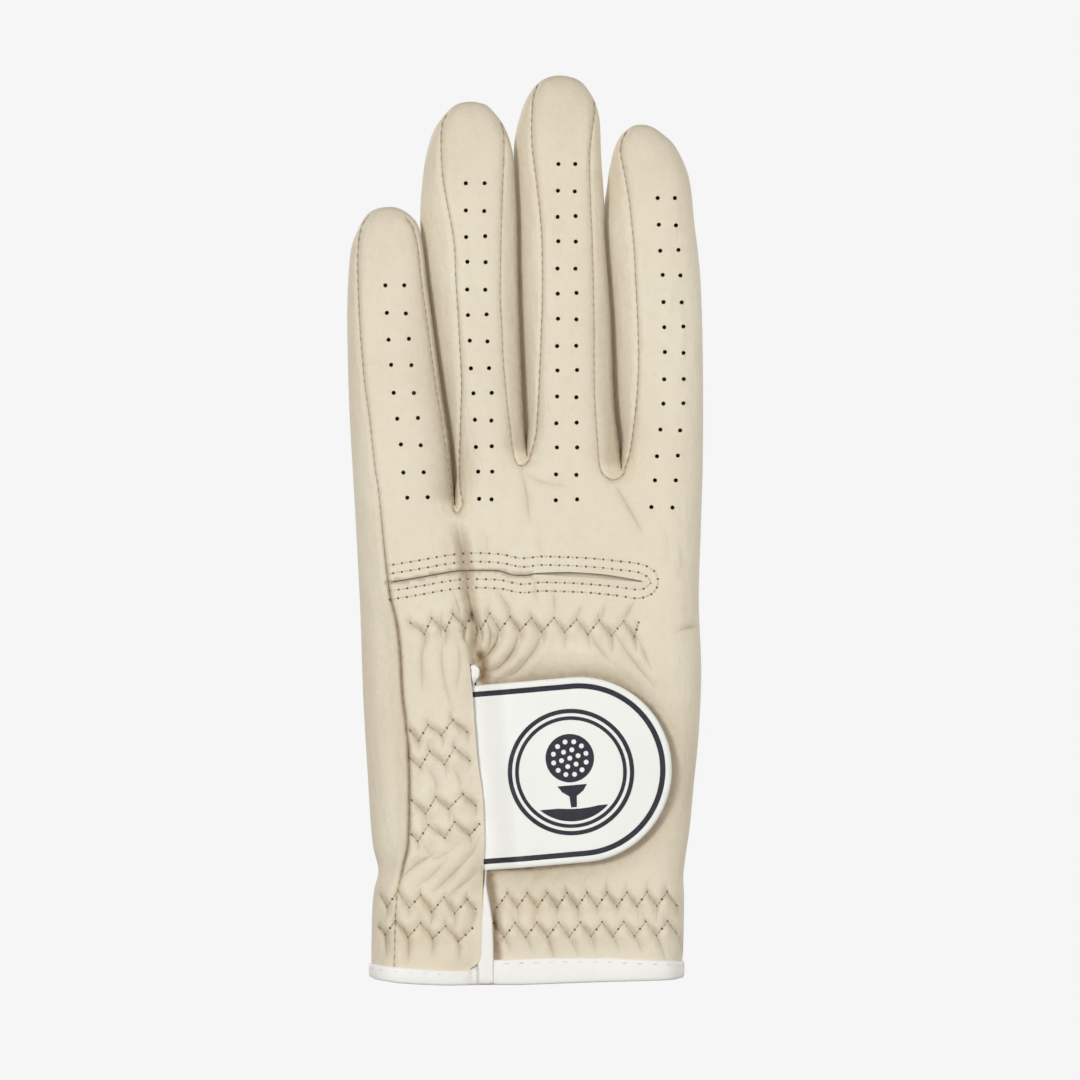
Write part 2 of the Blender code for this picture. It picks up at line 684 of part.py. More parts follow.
def make_tab():
    """Closing tab with its stripe, emblem and hook tape, and the loop tape it sticks to."""

    def film(name, outline, spacing=20.0, holes=()):
        return patch(name, outline, "navy_film", *FILM_LAYER, holes=holes, spacing=spacing,
                     height_at=tab_height)

    face = patch("tab_face", tab_outline(0.0, 0.5), "white_synthetic", *TAB_LAYER, spacing=7.0,
                 height_at=tab_height)
    edge = tab_outline(1.6, 1.6)
    inner = tab_outline(2.8, 1.6)
    stripe = film("tab_stripe", edge[1:] + edge[:1] + inner[:1] + inner[:0:-1])
    ring = film("tab_emblem_ring", ring_outline(15.4, EMBLEM_CENTRE, 0.0, 32),
                holes=[ring_outline(14.2, EMBLEM_CENTRE, 0.0, 32)])
    ball = film("tab_emblem_ball", ring_outline(5.4, EMBLEM_CENTRE, 3.6, 20), spacing=8.0)
    tee_shape = [(-4.4, -3.1), (-1.2, -5.2), (0.0, -11.4), (1.2, -5.2), (4.4, -3.1)]
    tee = film("tab_emblem_tee", [tab_point(EMBLEM_CENTRE + a, b) for a, b in tee_shape])
    hook = patch("hook_patch", tab_outline(4.0, 14.0), "hook_tape", *HOOK_LAYER, spacing=9.0,
                 height_at=tab_height)
    hinge = bpy.data.objects.new("tab_fold", None)
    hinge.location = Vector((TAB_ROOT[0], -TAB_FOLD_DEPTH, TAB_ROOT[1])) * MM
    bpy.context.scene.collection.objects.link(hinge)
    bpy.context.view_layer.update()
    for piece in (face, stripe, ring, ball, tee, hook):
        piece.parent = hinge
        piece.matrix_parent_inverse = hinge.matrix_world.inverted()
    patch("loop_patch", tab_outline(4.5, 12.0), "loop_tape", *LOOP_LAYER, spacing=9.0)
    near, far = TAB_ROOT_REACH
    half = TAB_ROOT_HALF
    root = [tab_point(near, half), tab_point(near, -half), tab_point(far, -half),
            tab_point(far, half)]
    high = -(LEATHER + LINING_GAP + ELASTIC_THICKNESS + LINING_GAP)
    patch("tab_root", root, "white_synthetic", high - LEATHER, high, spacing=8.0)


def main():
    clear_scene()
    make_hand()
    make_bindings()
    make_vent_facing()
    make_elastics()
    for name in FINGERS:
        make_finger(name)
    make_thumb()
    make_tab()


main()
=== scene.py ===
"""Looks of the golf glove. All shapes are worked out in millimetres in the frame of the CAD
(fingers along +Z, back of the hand towards -Y) and turned into metres when a mesh is made.
The leather is one skin: a sheet for the back and a sheet for the palm that meet at the
silhouette. It is triangulated with its seams, holes and slits as edges, given its height by
formulas, and then split into its pieces; those of the hand are put on the hand's body."""
import math
import random

import bpy
import bmesh
import numpy as np
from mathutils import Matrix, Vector, noise
from mathutils.geometry import delaunay_2d_cdt


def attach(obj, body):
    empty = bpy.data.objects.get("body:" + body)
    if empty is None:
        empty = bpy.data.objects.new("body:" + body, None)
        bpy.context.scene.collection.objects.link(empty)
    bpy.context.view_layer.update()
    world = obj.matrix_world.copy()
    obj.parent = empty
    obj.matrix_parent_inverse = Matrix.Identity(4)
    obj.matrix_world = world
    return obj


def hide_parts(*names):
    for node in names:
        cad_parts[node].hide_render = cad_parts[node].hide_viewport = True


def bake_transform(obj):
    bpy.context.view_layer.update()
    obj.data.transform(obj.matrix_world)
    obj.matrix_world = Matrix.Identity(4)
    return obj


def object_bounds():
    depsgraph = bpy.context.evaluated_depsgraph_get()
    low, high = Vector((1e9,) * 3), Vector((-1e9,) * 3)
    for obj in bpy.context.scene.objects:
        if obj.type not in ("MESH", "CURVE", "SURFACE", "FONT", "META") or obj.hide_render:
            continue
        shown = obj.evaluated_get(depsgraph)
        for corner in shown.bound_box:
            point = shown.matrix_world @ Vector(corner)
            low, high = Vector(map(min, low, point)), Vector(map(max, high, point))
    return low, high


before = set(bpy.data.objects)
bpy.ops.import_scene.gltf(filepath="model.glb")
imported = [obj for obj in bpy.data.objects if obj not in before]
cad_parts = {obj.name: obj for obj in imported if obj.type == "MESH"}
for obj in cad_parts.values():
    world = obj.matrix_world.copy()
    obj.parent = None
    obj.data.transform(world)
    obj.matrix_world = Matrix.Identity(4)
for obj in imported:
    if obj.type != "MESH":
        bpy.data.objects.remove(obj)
cad_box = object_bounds()

MM = 0.001
LEATHER = 0.55           # thickness of the leather
EDGE_STEP = 0.9          # spacing of points along the silhouette and the seams
FINE_STEP = 0.8          # spacing of points along slits, creases and shadows
EDGE_ROWS = (0.12, 0.45, 1.0, 1.8, 2.8)     # rows of points inside the silhouette
SEAM_ROWS = (0.28, 0.75)                    # rows of points beside a seam
FOLD_ROW = 0.34                             # row of points beside a crease or a stitch line
BACK_SPACING = 0.85
PALM_SPACING = 1.3
HOLE_RADIUS = 0.53
FINGER_GAP = 0.35        # between neighbouring fingers
CONTACT_TOPS = (183.0, 203.0, 193.0)        # up to where neighbouring fingers touch
HEM_EDGE = 2.6           # lower edge of the leather, inside the cuff binding
SIDE_SEAM_TOP = 188.0    # where the seam on the little finger's side ends
FINGER_NAMES = ("little", "ring", "middle", "index")
FINGER_TOPS = (190.0, 215.7, 222.1, 210.1)
BASE = {"little": 120.0, "ring": 130.0, "middle": 130.0, "index": 128.0}
TAB_TILT = math.radians(5.0)
TAB_ROOT = (-12.0, 50.5)
TAB_LENGTH = 47.6
TAB_WIDTH = 45.2
THUMB_TILT = math.radians(34.0)
THUMB_BASE = (21.0, 64.0)
THUMB_HOLE = (10.5, 17.0)
THUMB_ROOT_END = 3.0     # distance along the thumb at which its leather starts to turn
# Of the folded thumb, at its root and further on: height of its middle, and how far its outer
# and its inner half rise from there
THUMB_MIDDLE = (7.4, 14.2)
THUMB_RISE = (11.2, 4.7)
THUMB_SINK = (1.6, 4.5)
# Pitch and length of the stitches
SEAM_STITCH = (2.05, 1.25)
VENT_STITCH = (2.15, 1.35)
THUMB_STITCH = (2.1, 1.3)
ELASTIC_LEVELS = (2.7, 3.3)                 # depth of an elastic's two faces in the glove
EMBLEM_ALONG = 23.0      # middle of the emblem, from the tab's fold
EMBLEM_ACROSS = -0.4     # middle of the emblem, from the tab's middle line
BALL_ACROSS = EMBLEM_ACROSS + 3.4

# ---------------------------------------------------------------- outlines, as (x, z)

LEFT_SIDE = [(-37.5, 1.7), (-37.8, 6.1), (-37.6, 17.8), (-37.1, 23.2), (-36.1, 28.1),
             (-37.6, 35.4), (-38.8, 52.9), (-39.8, 70.5), (-40.5, 91.0), (-41.7, 114.4),
             (-42.9, 134.9), (-43.4, 146.6), (-43.7, 164.2), (-43.2, 175.9), (-42.2, 181.8),
             (-39.3, 187.6), (-36.6, 189.5), (-33.0, 190.0), (-30.4, 189.3), (-28.1, 187.6),
             (-26.4, 185.0), (-25.3, 179.5), (-24.5, 172.5), (-23.1, 162.0), (-21.1, 147.3),
             (-19.8, 138.8), (-18.8, 131.8), (-17.9, 122.0), (-17.4, 117.2)]
RING_EDGE = [(-16.9, 117.2), (-16.9, 123.2), (-17.1, 130.5), (-18.1, 138.1), (-18.9, 143.7),
             (-20.2, 154.2), (-21.2, 161.3), (-23.0, 170.3), (-24.9, 179.5), (-25.7, 188.4),
             (-25.3, 196.4), (-24.3, 203.1), (-22.6, 208.6), (-20.0, 212.4), (-17.4, 214.8),
             (-14.3, 215.7), (-11.4, 215.4), (-9.2, 214.5), (-6.3, 211.1), (-4.7, 207.9),
             (-3.7, 204.4), (-3.2, 200.8), (-2.5, 187.9), (-2.2, 172.5), (-1.8, 160.6),
             (-1.0, 142.7), (-0.5, 134.6), (0.1, 129.4)]
MIDDLE_EDGE = [(0.9, 129.4), (0.7, 134.6), (0.3, 142.7), (-0.9, 160.6), (-1.5, 172.5),
               (-1.8, 187.9), (-2.6, 200.8), (-2.5, 206.7), (-1.6, 211.8), (0.0, 216.2),
               (2.5, 219.8), (5.3, 221.6), (8.6, 222.1), (12.1, 221.3), (14.3, 219.7),
               (16.6, 216.2), (17.6, 213.0), (18.1, 209.8), (18.3, 202.2), (18.6, 195.8),
               (18.9, 190.6), (18.9, 183.9), (19.8, 172.1), (20.5, 162.1), (21.3, 142.7),
               (22.4, 133.0), (23.2, 126.2)]
INDEX_EDGE = [(23.9, 126.2), (23.4, 133.0), (22.3, 142.7), (21.3, 162.1), (20.5, 172.1),
              (19.7, 183.9), (19.6, 190.6), (20.1, 195.0), (20.5, 198.9), (21.4, 203.6),
              (22.7, 206.7), (24.4, 208.6), (26.2, 209.8), (28.4, 210.1), (30.6, 209.6),
              (32.7, 208.3), (35.8, 205.6), (37.8, 202.3), (39.5, 198.2), (40.4, 193.5),
              (41.1, 186.2), (42.0, 178.9), (42.7, 170.6), (43.2, 152.5), (43.2, 129.1),
              (42.7, 111.5), (42.2, 93.9), (42.8, 76.4), (42.1, 60.3), (41.0, 49.3),
              (40.0, 38.6), (38.5, 27.6), (38.6, 20.7), (38.4, 9.0), (37.9, 4.0), (37.6, 1.7)]

SEAM_POINTS = {
    "side": [(-32.2, 2.0), (-31.8, 15.9), (-31.3, 22.9), (-29.9, 29.1), (-28.6, 36.4),
        (-28.5, 53.7), (-29.2, 63.3), (-30.1, 71.0), (-30.7, 81.7), (-31.6, 88.8), (-33.1, 94.9),
        (-34.0, 101.5), (-34.8, 109.1), (-35.9, 120.3), (-36.9, 127.1), (-38.2, 138.8),
        (-39.4, 147.6), (-40.5, 161.3), (-41.0, 173.2), (-40.9, 180.5), (-40.0, 185.4),
        (-38.2, 188.0)],
    "little": [(-29.2, 187.0), (-27.6, 184.6), (-26.4, 179.0), (-25.7, 172.0), (-24.3, 162.0),
        (-22.3, 147.3), (-20.9, 138.8), (-19.7, 131.0), (-18.5, 121.0), (-18.0, 116.8),
        (-17.3, 115.3), (-16.4, 115.2)],
    "ring_left": [(-19.3, 212.6), (-20.4, 210.2), (-20.7, 206.7), (-20.6, 201.3), (-20.2, 196.4),
        (-19.2, 190.7), (-17.9, 184.0), (-17.3, 178.9), (-17.1, 172.5), (-16.4, 161.3),
        (-15.7, 147.3), (-15.9, 138.8), (-16.1, 128.8), (-15.9, 121.5), (-15.3, 117.6),
        (-16.4, 115.2)],
    "ring_right": [(-6.2, 210.6), (-5.5, 207.6), (-5.5, 201.3), (-5.7, 194.8), (-6.0, 185.2),
        (-6.3, 169.3), (-5.9, 160.6), (-5.5, 151.8), (-4.7, 142.7), (-3.9, 136.2), (-3.4, 131.6),
        (-2.7, 128.2), (-1.5, 126.6), (-0.3, 126.9)],
    "middle_left": [(2.9, 219.9), (1.9, 217.0), (1.5, 213.3), (1.4, 208.6), (1.6, 203.7),
        (2.2, 199.0), (3.0, 192.5), (3.6, 186.5), (4.0, 179.0), (4.0, 166.7), (3.7, 157.6),
        (3.2, 145.9), (2.6, 135.5), (1.8, 130.9), (0.9, 128.2), (-0.3, 126.9)],
    "middle_right": [(16.6, 215.9), (16.6, 212.5), (16.1, 208.5), (15.6, 203.7), (15.5, 198.9),
        (15.7, 191.5), (16.1, 182.5), (16.4, 171.6), (16.6, 160.6), (16.7, 144.7), (17.3, 134.6),
        (17.7, 128.7), (18.5, 125.0), (20.9, 123.1)],
    "index_left": [(24.6, 208.4), (23.5, 206.1), (23.1, 203.5), (23.6, 200.3), (24.4, 196.2),
        (25.2, 191.3), (25.8, 186.1), (26.4, 179.6), (26.8, 171.8), (27.3, 161.5), (27.5, 151.8),
        (27.0, 142.7), (26.3, 136.2), (25.4, 129.7), (24.1, 125.2), (22.6, 123.6), (20.9, 123.1)],
}

VENT = [(-34.3, 98.1), (-26.3, 99.4), (-20.3, 100.5), (-16.0, 101.1), (-7.1, 101.1),
        (-3.4, 100.1), (0.3, 100.0), (3.1, 100.4), (13.4, 100.1), (20.4, 99.5), (28.3, 98.5)]
FLAP_EDGE = [(-13.7, 78.0), (-13.3, 73.7), (-12.9, 69.5), (-12.6, 64.4), (-12.2, 59.0),
             (-11.5, 52.5), (-10.7, 47.1), (-10.1, 36.4), (-10.4, 28.7), (-10.6, 21.9),
             (-10.9, 13.9), (-11.1, 7.8), (-11.6, 5.6), (-13.6, 4.0), (-14.5, 2.0)]
PANEL_EDGE = [(-13.2, 78.2), (-12.6, 75.0), (-11.2, 71.0), (-9.2, 64.0), (-9.0, 40.0),
              (-9.9, 30.0), (-9.9, 24.0), (-9.4, 14.0), (-9.1, 2.0)]
# Paths along which shadow is painted on the leather; along some of them the leather is also sunk.
SLIT_SHADOW = [(-10.6, 78.6), (-9.9, 76.2), (-9.6, 73.0)]
PANEL_SHADOW = [(-9.2, 29.6), (-8.9, 26.5), (-8.3, 22.5), (-7.7, 19.0), (-7.3, 14.0), (-7.1, 8.0),
                (-7.1, 6.0)]
CORNER_SHADOW = [(-8.6, 24.0), (-8.8, 26.6), (-7.4, 28.2), (-3.0, 28.7), (1.0, 28.9)]
NUB_SHADOW = [(-11.3, 80.8), (-10.4, 77.8), (-10.4, 74.4)]
FOLD = [(-17.0, 114.2), (-15.6, 107.4), (-14.6, 101.0), (-14.2, 95.9), (-13.3, 91.0),
        (-12.8, 84.0), (-12.5, 78.6)]

# Perforations: rows from the top down, as left and right column along a line per finger
PERFORATIONS = {
    "little": (9, [(170.5, -34.4, -29.8), (151.0, -33.0, -28.0), (118.8, -29.0, -24.1)]),
    "ring": (13, [(195.4, -14.8, -10.2), (161.0, -14.1, -9.7), (143.0, -12.8, -8.4),
                  (118.7, -11.4, -8.3)]),
    "middle": (14, [(200.1, 7.8, 11.9), (160.0, 7.7, 12.3), (118.4, 7.3, 12.4)]),
    "index": (13, [(191.8, 32.0, 36.2), (165.0, 33.7, 38.2), (145.0, 33.8, 38.6),
                   (116.7, 30.6, 35.8)]),
}


def smooth_path(points, spacing):
    """Evenly spaced points on a smooth curve through the given points."""
    pts = np.array(points, float)
    padded = np.vstack([2 * pts[0] - pts[1], pts, 2 * pts[-1] - pts[-2]])
    dense = []
    for i in range(1, len(padded) - 2):
        p0, p1, p2, p3 = padded[i - 1:i + 3]
        for t in np.linspace(0.0, 1.0, 12, endpoint=False):
            dense.append(0.5 * (2 * p1 + (p2 - p0) * t + (2 * p0 - 5 * p1 + 4 * p2 - p3) * t ** 2
                                + (3 * p1 - p0 - 3 * p2 + p3) * t ** 3))
    dense.append(pts[-1])
    return resample(np.array(dense), spacing)


def travelled(path):
    """Distance of each point of a path from its start, along the path."""
    return np.concatenate([[0.0], np.cumsum(np.linalg.norm(np.diff(path, axis=0), axis=1))])


def resample(path, spacing):
    """The same path with its points evenly spaced."""
    lengths = travelled(path)
    count = max(2, int(round(lengths[-1] / spacing)) + 1)
    goals = np.linspace(0.0, lengths[-1], count)
    return np.stack([np.interp(goals, lengths, path[:, k]) for k in range(path.shape[1])], 1)


def eased(t):
    """Soft step: 0 to 1 as t goes from 0 to 1."""
    return t * t * (3 - 2 * t)


def nearest(x, z, path, reach=None):
    """Distance from each point to a path, the side it lies on (+1 right of the path's
    direction of travel) and how far along the path the nearest point is, from 0 to 1."""
    x = np.asarray(x, float).ravel()
    z = np.asarray(z, float).ravel()
    best = np.full(x.shape, 1e9)
    side = np.ones(x.shape)
    along = np.zeros(x.shape)
    use = np.arange(len(x))
    if reach is not None:
        low = path.min(0) - reach
        high = path.max(0) + reach
        use = np.nonzero((x > low[0]) & (x < high[0]) & (z > low[1]) & (z < high[1]))[0]
    px = x[use]
    pz = z[use]
    b = np.full(px.shape, 1e9)
    s = np.ones(px.shape)
    a = np.zeros(px.shape)
    for i in range(len(path) - 1):
        ax, az = path[i]
        dx, dz = path[i + 1] - path[i]
        t = np.clip(((px - ax) * dx + (pz - az) * dz) / max(dx * dx + dz * dz, 1e-12), 0, 1)
        ex = px - ax - t * dx
        ez = pz - az - t * dz
        d = ex * ex + ez * ez
        closer = d < b
        b[closer] = d[closer]
        s[closer] = np.sign(ex * dz - ez * dx)[closer]
        a[closer] = (i + t[closer]) / (len(path) - 1)
    best[use] = np.sqrt(b)
    side[use] = s
    along[use] = a
    return best, side, along


def distance(x, z, path, reach=None):
    """Distance from each point to a path; points beyond the reach may count as very far."""
    return nearest(x, z, path, reach)[0]


def far(points, path, reach=None):
    """Distance of flat points from a path."""
    return distance(points[:, 0], points[:, 1], path, reach)


def inside(x, z, loop):
    """Which points lie inside a closed loop."""
    hit = np.zeros(len(x), bool)
    for (xa, za), (xb, zb) in zip(loop, np.roll(loop, -1, axis=0)):
        if za == zb:
            continue
        crosses = ((za > z) != (zb > z)) & (x < xa + (z - za) / (zb - za) * (xb - xa))
        hit ^= crosses
    return hit


def within(points, loop):
    """Which flat points lie inside a closed loop."""
    return inside(points[:, 0], points[:, 1], loop)


def closed(loop):
    """The loop with its first point added at its end."""
    return np.vstack([loop, loop[:1]])


def beyond(x, z, line):
    """How far a point is to the right of a line that rises from its first point."""
    return x - np.interp(z, line[:, 1], line[:, 0])


def x_at(path, z):
    """x of a path that rises or falls steadily, at height z."""
    order = np.argsort(path[:, 1])
    return np.interp(z, path[order, 1], path[order, 0])


left_side = smooth_path(LEFT_SIDE, EDGE_STEP)
ring_edge = smooth_path(RING_EDGE, EDGE_STEP)
middle_edge = smooth_path(MIDDLE_EDGE, EDGE_STEP)
index_edge = smooth_path(INDEX_EDGE, EDGE_STEP)


def close_gap(edge, neighbour, top):
    """Brings a finger's left edge up to its neighbour's right edge, below height top."""
    right = neighbour[np.argmax(neighbour[:, 1]):]
    flank = np.arange(len(edge)) < np.argmax(edge[:, 1])
    t = eased(np.clip((top - edge[:, 1]) / 8.0, 0, 1) * flank)
    goal = x_at(right, edge[:, 1]) + FINGER_GAP
    moved = edge.copy()
    moved[:, 0] = np.minimum(edge[:, 0], edge[:, 0] + t * (goal - edge[:, 0]))
    return moved


ring_edge = close_gap(ring_edge, left_side, CONTACT_TOPS[0])
middle_edge = close_gap(middle_edge, ring_edge, CONTACT_TOPS[1])
index_edge = close_gap(index_edge, middle_edge, CONTACT_TOPS[2])
EDGES = [left_side, ring_edge, middle_edge, index_edge]
SEAMS = {name: smooth_path(points, EDGE_STEP) for name, points in SEAM_POINTS.items()}
vent = smooth_path(VENT, FINE_STEP)
flap_edge = smooth_path(FLAP_EDGE, FINE_STEP)
panel_edge = smooth_path(PANEL_EDGE, FINE_STEP)
fold = smooth_path(FOLD, 1.0)
slit_shadow = smooth_path(SLIT_SHADOW, FINE_STEP)
panel_shadow = smooth_path(PANEL_SHADOW, FINE_STEP)
corner_shadow = smooth_path(CORNER_SHADOW, FINE_STEP)
nub_shadow = smooth_path(NUB_SHADOW, 0.6)


def tab_point(along, across):
    """Place on the glove of a point on the tab, measured from the middle of its fold."""
    c = math.cos(TAB_TILT)
    s = math.sin(TAB_TILT)
    return TAB_ROOT[0] + along * c - across * s, TAB_ROOT[1] + along * s + across * c


def tab_loop(inset, start, step=1.2):
    """Outline of the tab, inset all round: straight sides and a round end."""
    radius = TAB_WIDTH / 2 - inset
    centre = TAB_LENGTH - TAB_WIDTH / 2
    local = [(a, -radius) for a in np.arange(start, centre, step)]
    count = int(math.pi * radius / step)
    local += [(centre + radius * math.cos(t), radius * math.sin(t))
              for t in np.linspace(-math.pi / 2, math.pi / 2, count)]
    local += [(a, radius) for a in np.arange(centre, start, -step)[1:]]
    local += [(start, b) for b in np.arange(radius, -radius, -step)]
    return np.array([tab_point(a, b) for a, b in local])


tab_edge = closed(tab_loop(0.0, -8.0))
tab_rim = tab_edge[:-1][tab_edge[:-1, 0] > -10.0]

# ------------------------------------------------------------------ zigzags and creases

FLAP_ZIGZAGS = [
    [(-28.2, 62.1), (-26.2, 59.7), (-23.9, 63.5), (-20.6, 60.9), (-17.9, 64.8), (-14.4, 61.8)],
    [(-28.3, 55.4), (-25.8, 53.2), (-23.5, 57.1), (-19.9, 53.9), (-17.4, 58.0), (-13.7, 54.8)],
    [(-27.9, 45.2), (-24.5, 41.9), (-22.0, 45.9), (-18.9, 43.1), (-15.4, 46.7), (-12.3, 43.9)],
    [(-27.9, 36.8), (-26.4, 35.2), (-23.8, 39.1), (-19.8, 36.0), (-17.4, 39.9), (-13.8, 36.6),
     (-11.4, 39.4)],
]
CUFF_FLAP_ZIGZAGS = [
    [(-35.7, 22.4), (-33.9, 19.2), (-31.2, 23.0), (-28.5, 19.0), (-25.7, 22.0), (-23.0, 17.9),
     (-20.0, 21.5), (-17.4, 17.6), (-14.4, 21.0), (-12.3, 18.5)],
    [(-35.7, 14.0), (-34.3, 12.3), (-31.9, 15.8), (-28.8, 11.8), (-25.7, 15.2), (-22.8, 11.5),
     (-19.6, 14.5), (-16.5, 10.8), (-13.1, 14.0)],
]


def zigzag(x_first, x_last, pitch, low, height, start_low):
    """Corner points of a regular zigzag whose lower corners follow the function low."""
    points = []
    x = x_first
    down = start_low
    while x <= x_last:
        points.append((x, low(x) + (0.0 if down else height)))
        down = not down
        x += pitch / 2
    return points


KNUCKLE_ZIGZAG = [
    (-28.2, 88.4), (-24.8, 85.7), (-23.0, 89.5), (-19.7, 86.5), (-17.8, 90.5), (-14.9, 87.2),
    (-13.1, 90.5), (-11.0, 87.0), (-8.9, 90.7), (-6.4, 86.6), (-3.9, 89.9), (-1.5, 86.5),
    (1.3, 89.6), (3.8, 86.2), (6.8, 89.6), (9.4, 86.1), (12.3, 89.2), (15.0, 85.6), (17.8, 89.0),
    (20.8, 85.3), (23.8, 88.8), (26.4, 85.1), (27.4, 88.5),
]
CUFF_BACK_ZIGZAGS = [
    zigzag(-7.0, 37.5, 4.86, lambda x: 19.1 + 0.008 * x, 3.4, True),
    zigzag(-8.0, 37.6, 5.3, lambda x: 11.8 + 0.01 * x, 3.5, False),
]
PALM_ZIGZAGS = [
    zigzag(-36.0, 37.5, 5.3, lambda x: 18.4, 3.6, True),
    zigzag(-36.0, 37.5, 5.3, lambda x: 11.4, 3.6, True),
]
BACK_ZIGZAGS = [KNUCKLE_ZIGZAG] + FLAP_ZIGZAGS + CUFF_FLAP_ZIGZAGS + CUFF_BACK_ZIGZAGS

# Creases of the back: points, depth and half width
CREASES = [
    ([(-13.3, 90.6), (-14.9, 86.9), (-14.9, 84.5), (-13.6, 82.4)], 0.6, 0.6),
    ([(-13.3, 90.6), (-11.9, 86.9), (-12.3, 84.3), (-12.9, 81.0)], 0.85, 0.6),
    ([(-12.0, 78.4), (-9.9, 80.0), (-7.4, 83.4), (-6.6, 87.0)], 0.8, 0.6),
    ([(-10.0, 76.2), (-6.6, 77.6), (-3.4, 81.3), (-1.7, 85.6)], 0.75, 0.6),
    ([(-5.4, 75.0), (-2.6, 76.2), (0.2, 79.4), (2.6, 82.8), (3.9, 86.2)], 0.6, 0.6),
    ([(-9.2, 81.6), (-8.6, 85.4), (-9.6, 89.0)], 0.5, 0.5),
    ([(15.3, 86.0), (17.9, 82.0), (21.0, 78.4)], 0.35, 0.6),
    ([(21.5, 86.0), (25.8, 79.6), (31.8, 72.2)], 0.4, 0.7),
    ([(26.7, 85.6), (28.8, 81.2), (30.6, 76.8)], 0.35, 0.6),
    ([(-6.9, 96.2), (-5.1, 93.4), (-3.5, 90.7)], 0.35, 0.4),
    ([(2.0, 99.0), (2.3, 96.0), (2.6, 93.2)], 0.2, 0.45),
    ([(6.8, 96.2), (6.9, 93.4), (7.1, 90.7)], 0.3, 0.4),
    ([(13.6, 92.7), (12.9, 91.0), (12.1, 89.5)], 0.3, 0.4),
    ([(19.6, 93.0), (18.7, 91.0), (17.8, 89.0)], 0.3, 0.4),
    ([(26.4, 93.5), (25.0, 91.2), (23.6, 89.0)], 0.35, 0.45),
    ([(37.1, 86.6), (40.0, 87.3), (42.4, 87.4)], 0.4, 0.5),
    ([(-17.6, 95.5), (-16.8, 93.0), (-16.0, 90.3)], 0.4, 0.5),
    ([(-20.4, 91.2), (-20.9, 88.0), (-20.4, 84.4)], 0.35, 0.5),
    ([(-24.6, 84.6), (-25.4, 79.6), (-25.2, 72.0)], 0.35, 0.6),
    ([(-19.9, 85.4), (-20.6, 80.0), (-19.6, 73.0), (-17.6, 67.0)], 0.3, 0.6),
    ([(-16.6, 84.0), (-16.2, 78.0), (-16.8, 72.5)], 0.25, 0.5),
    ([(-23.4, 52.0), (-22.0, 49.4), (-21.8, 47.2)], 0.3, 0.5),
    ([(-17.6, 52.6), (-16.2, 50.4), (-15.8, 48.2)], 0.3, 0.5),
    ([(-25.2, 34.6), (-22.4, 31.0), (-18.0, 33.2)], 0.22, 0.6),
    ([(-14.6, 30.4), (-12.8, 32.6), (-11.8, 35.6)], 0.25, 0.5),
    ([(-30.5, 26.1), (-27.6, 28.8), (-22.2, 32.3)], 0.4, 0.7),
    ([(-22.8, 22.8), (-17.5, 27.6), (-13.1, 32.3)], 0.45, 0.7),
    ([(-19.3, 21.6), (-15.2, 24.9), (-11.8, 27.6)], 0.4, 0.6),
    ([(-26.5, 24.4), (-23.0, 26.8), (-19.5, 30.8)], 0.3, 0.6),
    ([(0.8, 24.0), (2.2, 26.4), (4.6, 29.0)], 0.3, 0.5),
    ([(6.2, 24.0), (7.4, 26.2), (9.4, 28.4)], 0.25, 0.5),
    ([(16.8, 28.4), (14.9, 26.4), (13.8, 23.9)], 0.25, 0.5),
    ([(21.7, 122.0), (24.9, 116.6), (28.3, 110.4)], 0.35, 0.9),
    ([(-1.2, 125.8), (-0.1, 121.0), (0.9, 113.3)], 0.35, 0.9),
    ([(-1.0, 125.2), (4.0, 122.8), (10.0, 121.6)], 0.22, 0.7),
    ([(33.0, 112.0), (34.6, 107.6), (34.0, 103.0)], 0.12, 0.8),
    ([(36.8, 109.0), (37.8, 104.0), (37.2, 99.0)], 0.14, 0.8),
    ([(-10.4, 111.0), (-9.4, 107.0), (-9.8, 103.0)], 0.14, 0.9),
    ([(3.6, 112.0), (3.2, 108.0), (3.7, 104.6)], 0.1, 0.8),
]
PALM_CREASES = [
    ([(-38.0, 104.0), (-26.0, 101.0), (-10.0, 106.0), (2.0, 112.0)], 0.5, 1.1),
    ([(38.0, 106.0), (26.0, 98.0), (10.0, 94.0), (-14.0, 84.0)], 0.45, 1.2),
    ([(-36.0, 88.0), (-27.0, 84.0), (-18.0, 80.0)], 0.3, 0.9),
    ([(-34.0, 47.0), (-20.0, 43.0), (-6.0, 45.0)], 0.3, 1.0),
    ([(8.0, 36.0), (22.0, 33.0), (36.0, 36.0)], 0.35, 0.9),
    ([(-37.0, 30.0), (-20.0, 27.0), (0.0, 28.0), (20.0, 26.5)], 0.4, 1.0),
]


def gather_creases(corners, seed, above, below, lean):
    """Creases along the falling legs of a zigzag, running on beyond its corners."""
    rng = random.Random(seed)
    made = []
    for (xa, za), (xb, zb) in zip(corners, corners[1:]):
        if zb > za:
            continue
        up = above * rng.uniform(0.5, 1.3)
        down = below * rng.uniform(0.6, 1.2)
        tilt = lean + rng.uniform(-0.12, 0.12)
        made.append(([(xa - tilt * up, za + up), (xa, za), (xb, zb), (xb + tilt * down, zb - down)],
                     rng.uniform(0.35, 0.6), 0.45))
    return made


def leg_points(corners, spacing):
    """Points along a zigzag, including its corners."""
    legs = []
    for a, b in zip(corners, corners[1:]):
        count = max(1, int(round(math.dist(a, b) / spacing)))
        legs.append(np.linspace(a, b, count, endpoint=False))
    return np.vstack(legs + [[corners[-1]]])


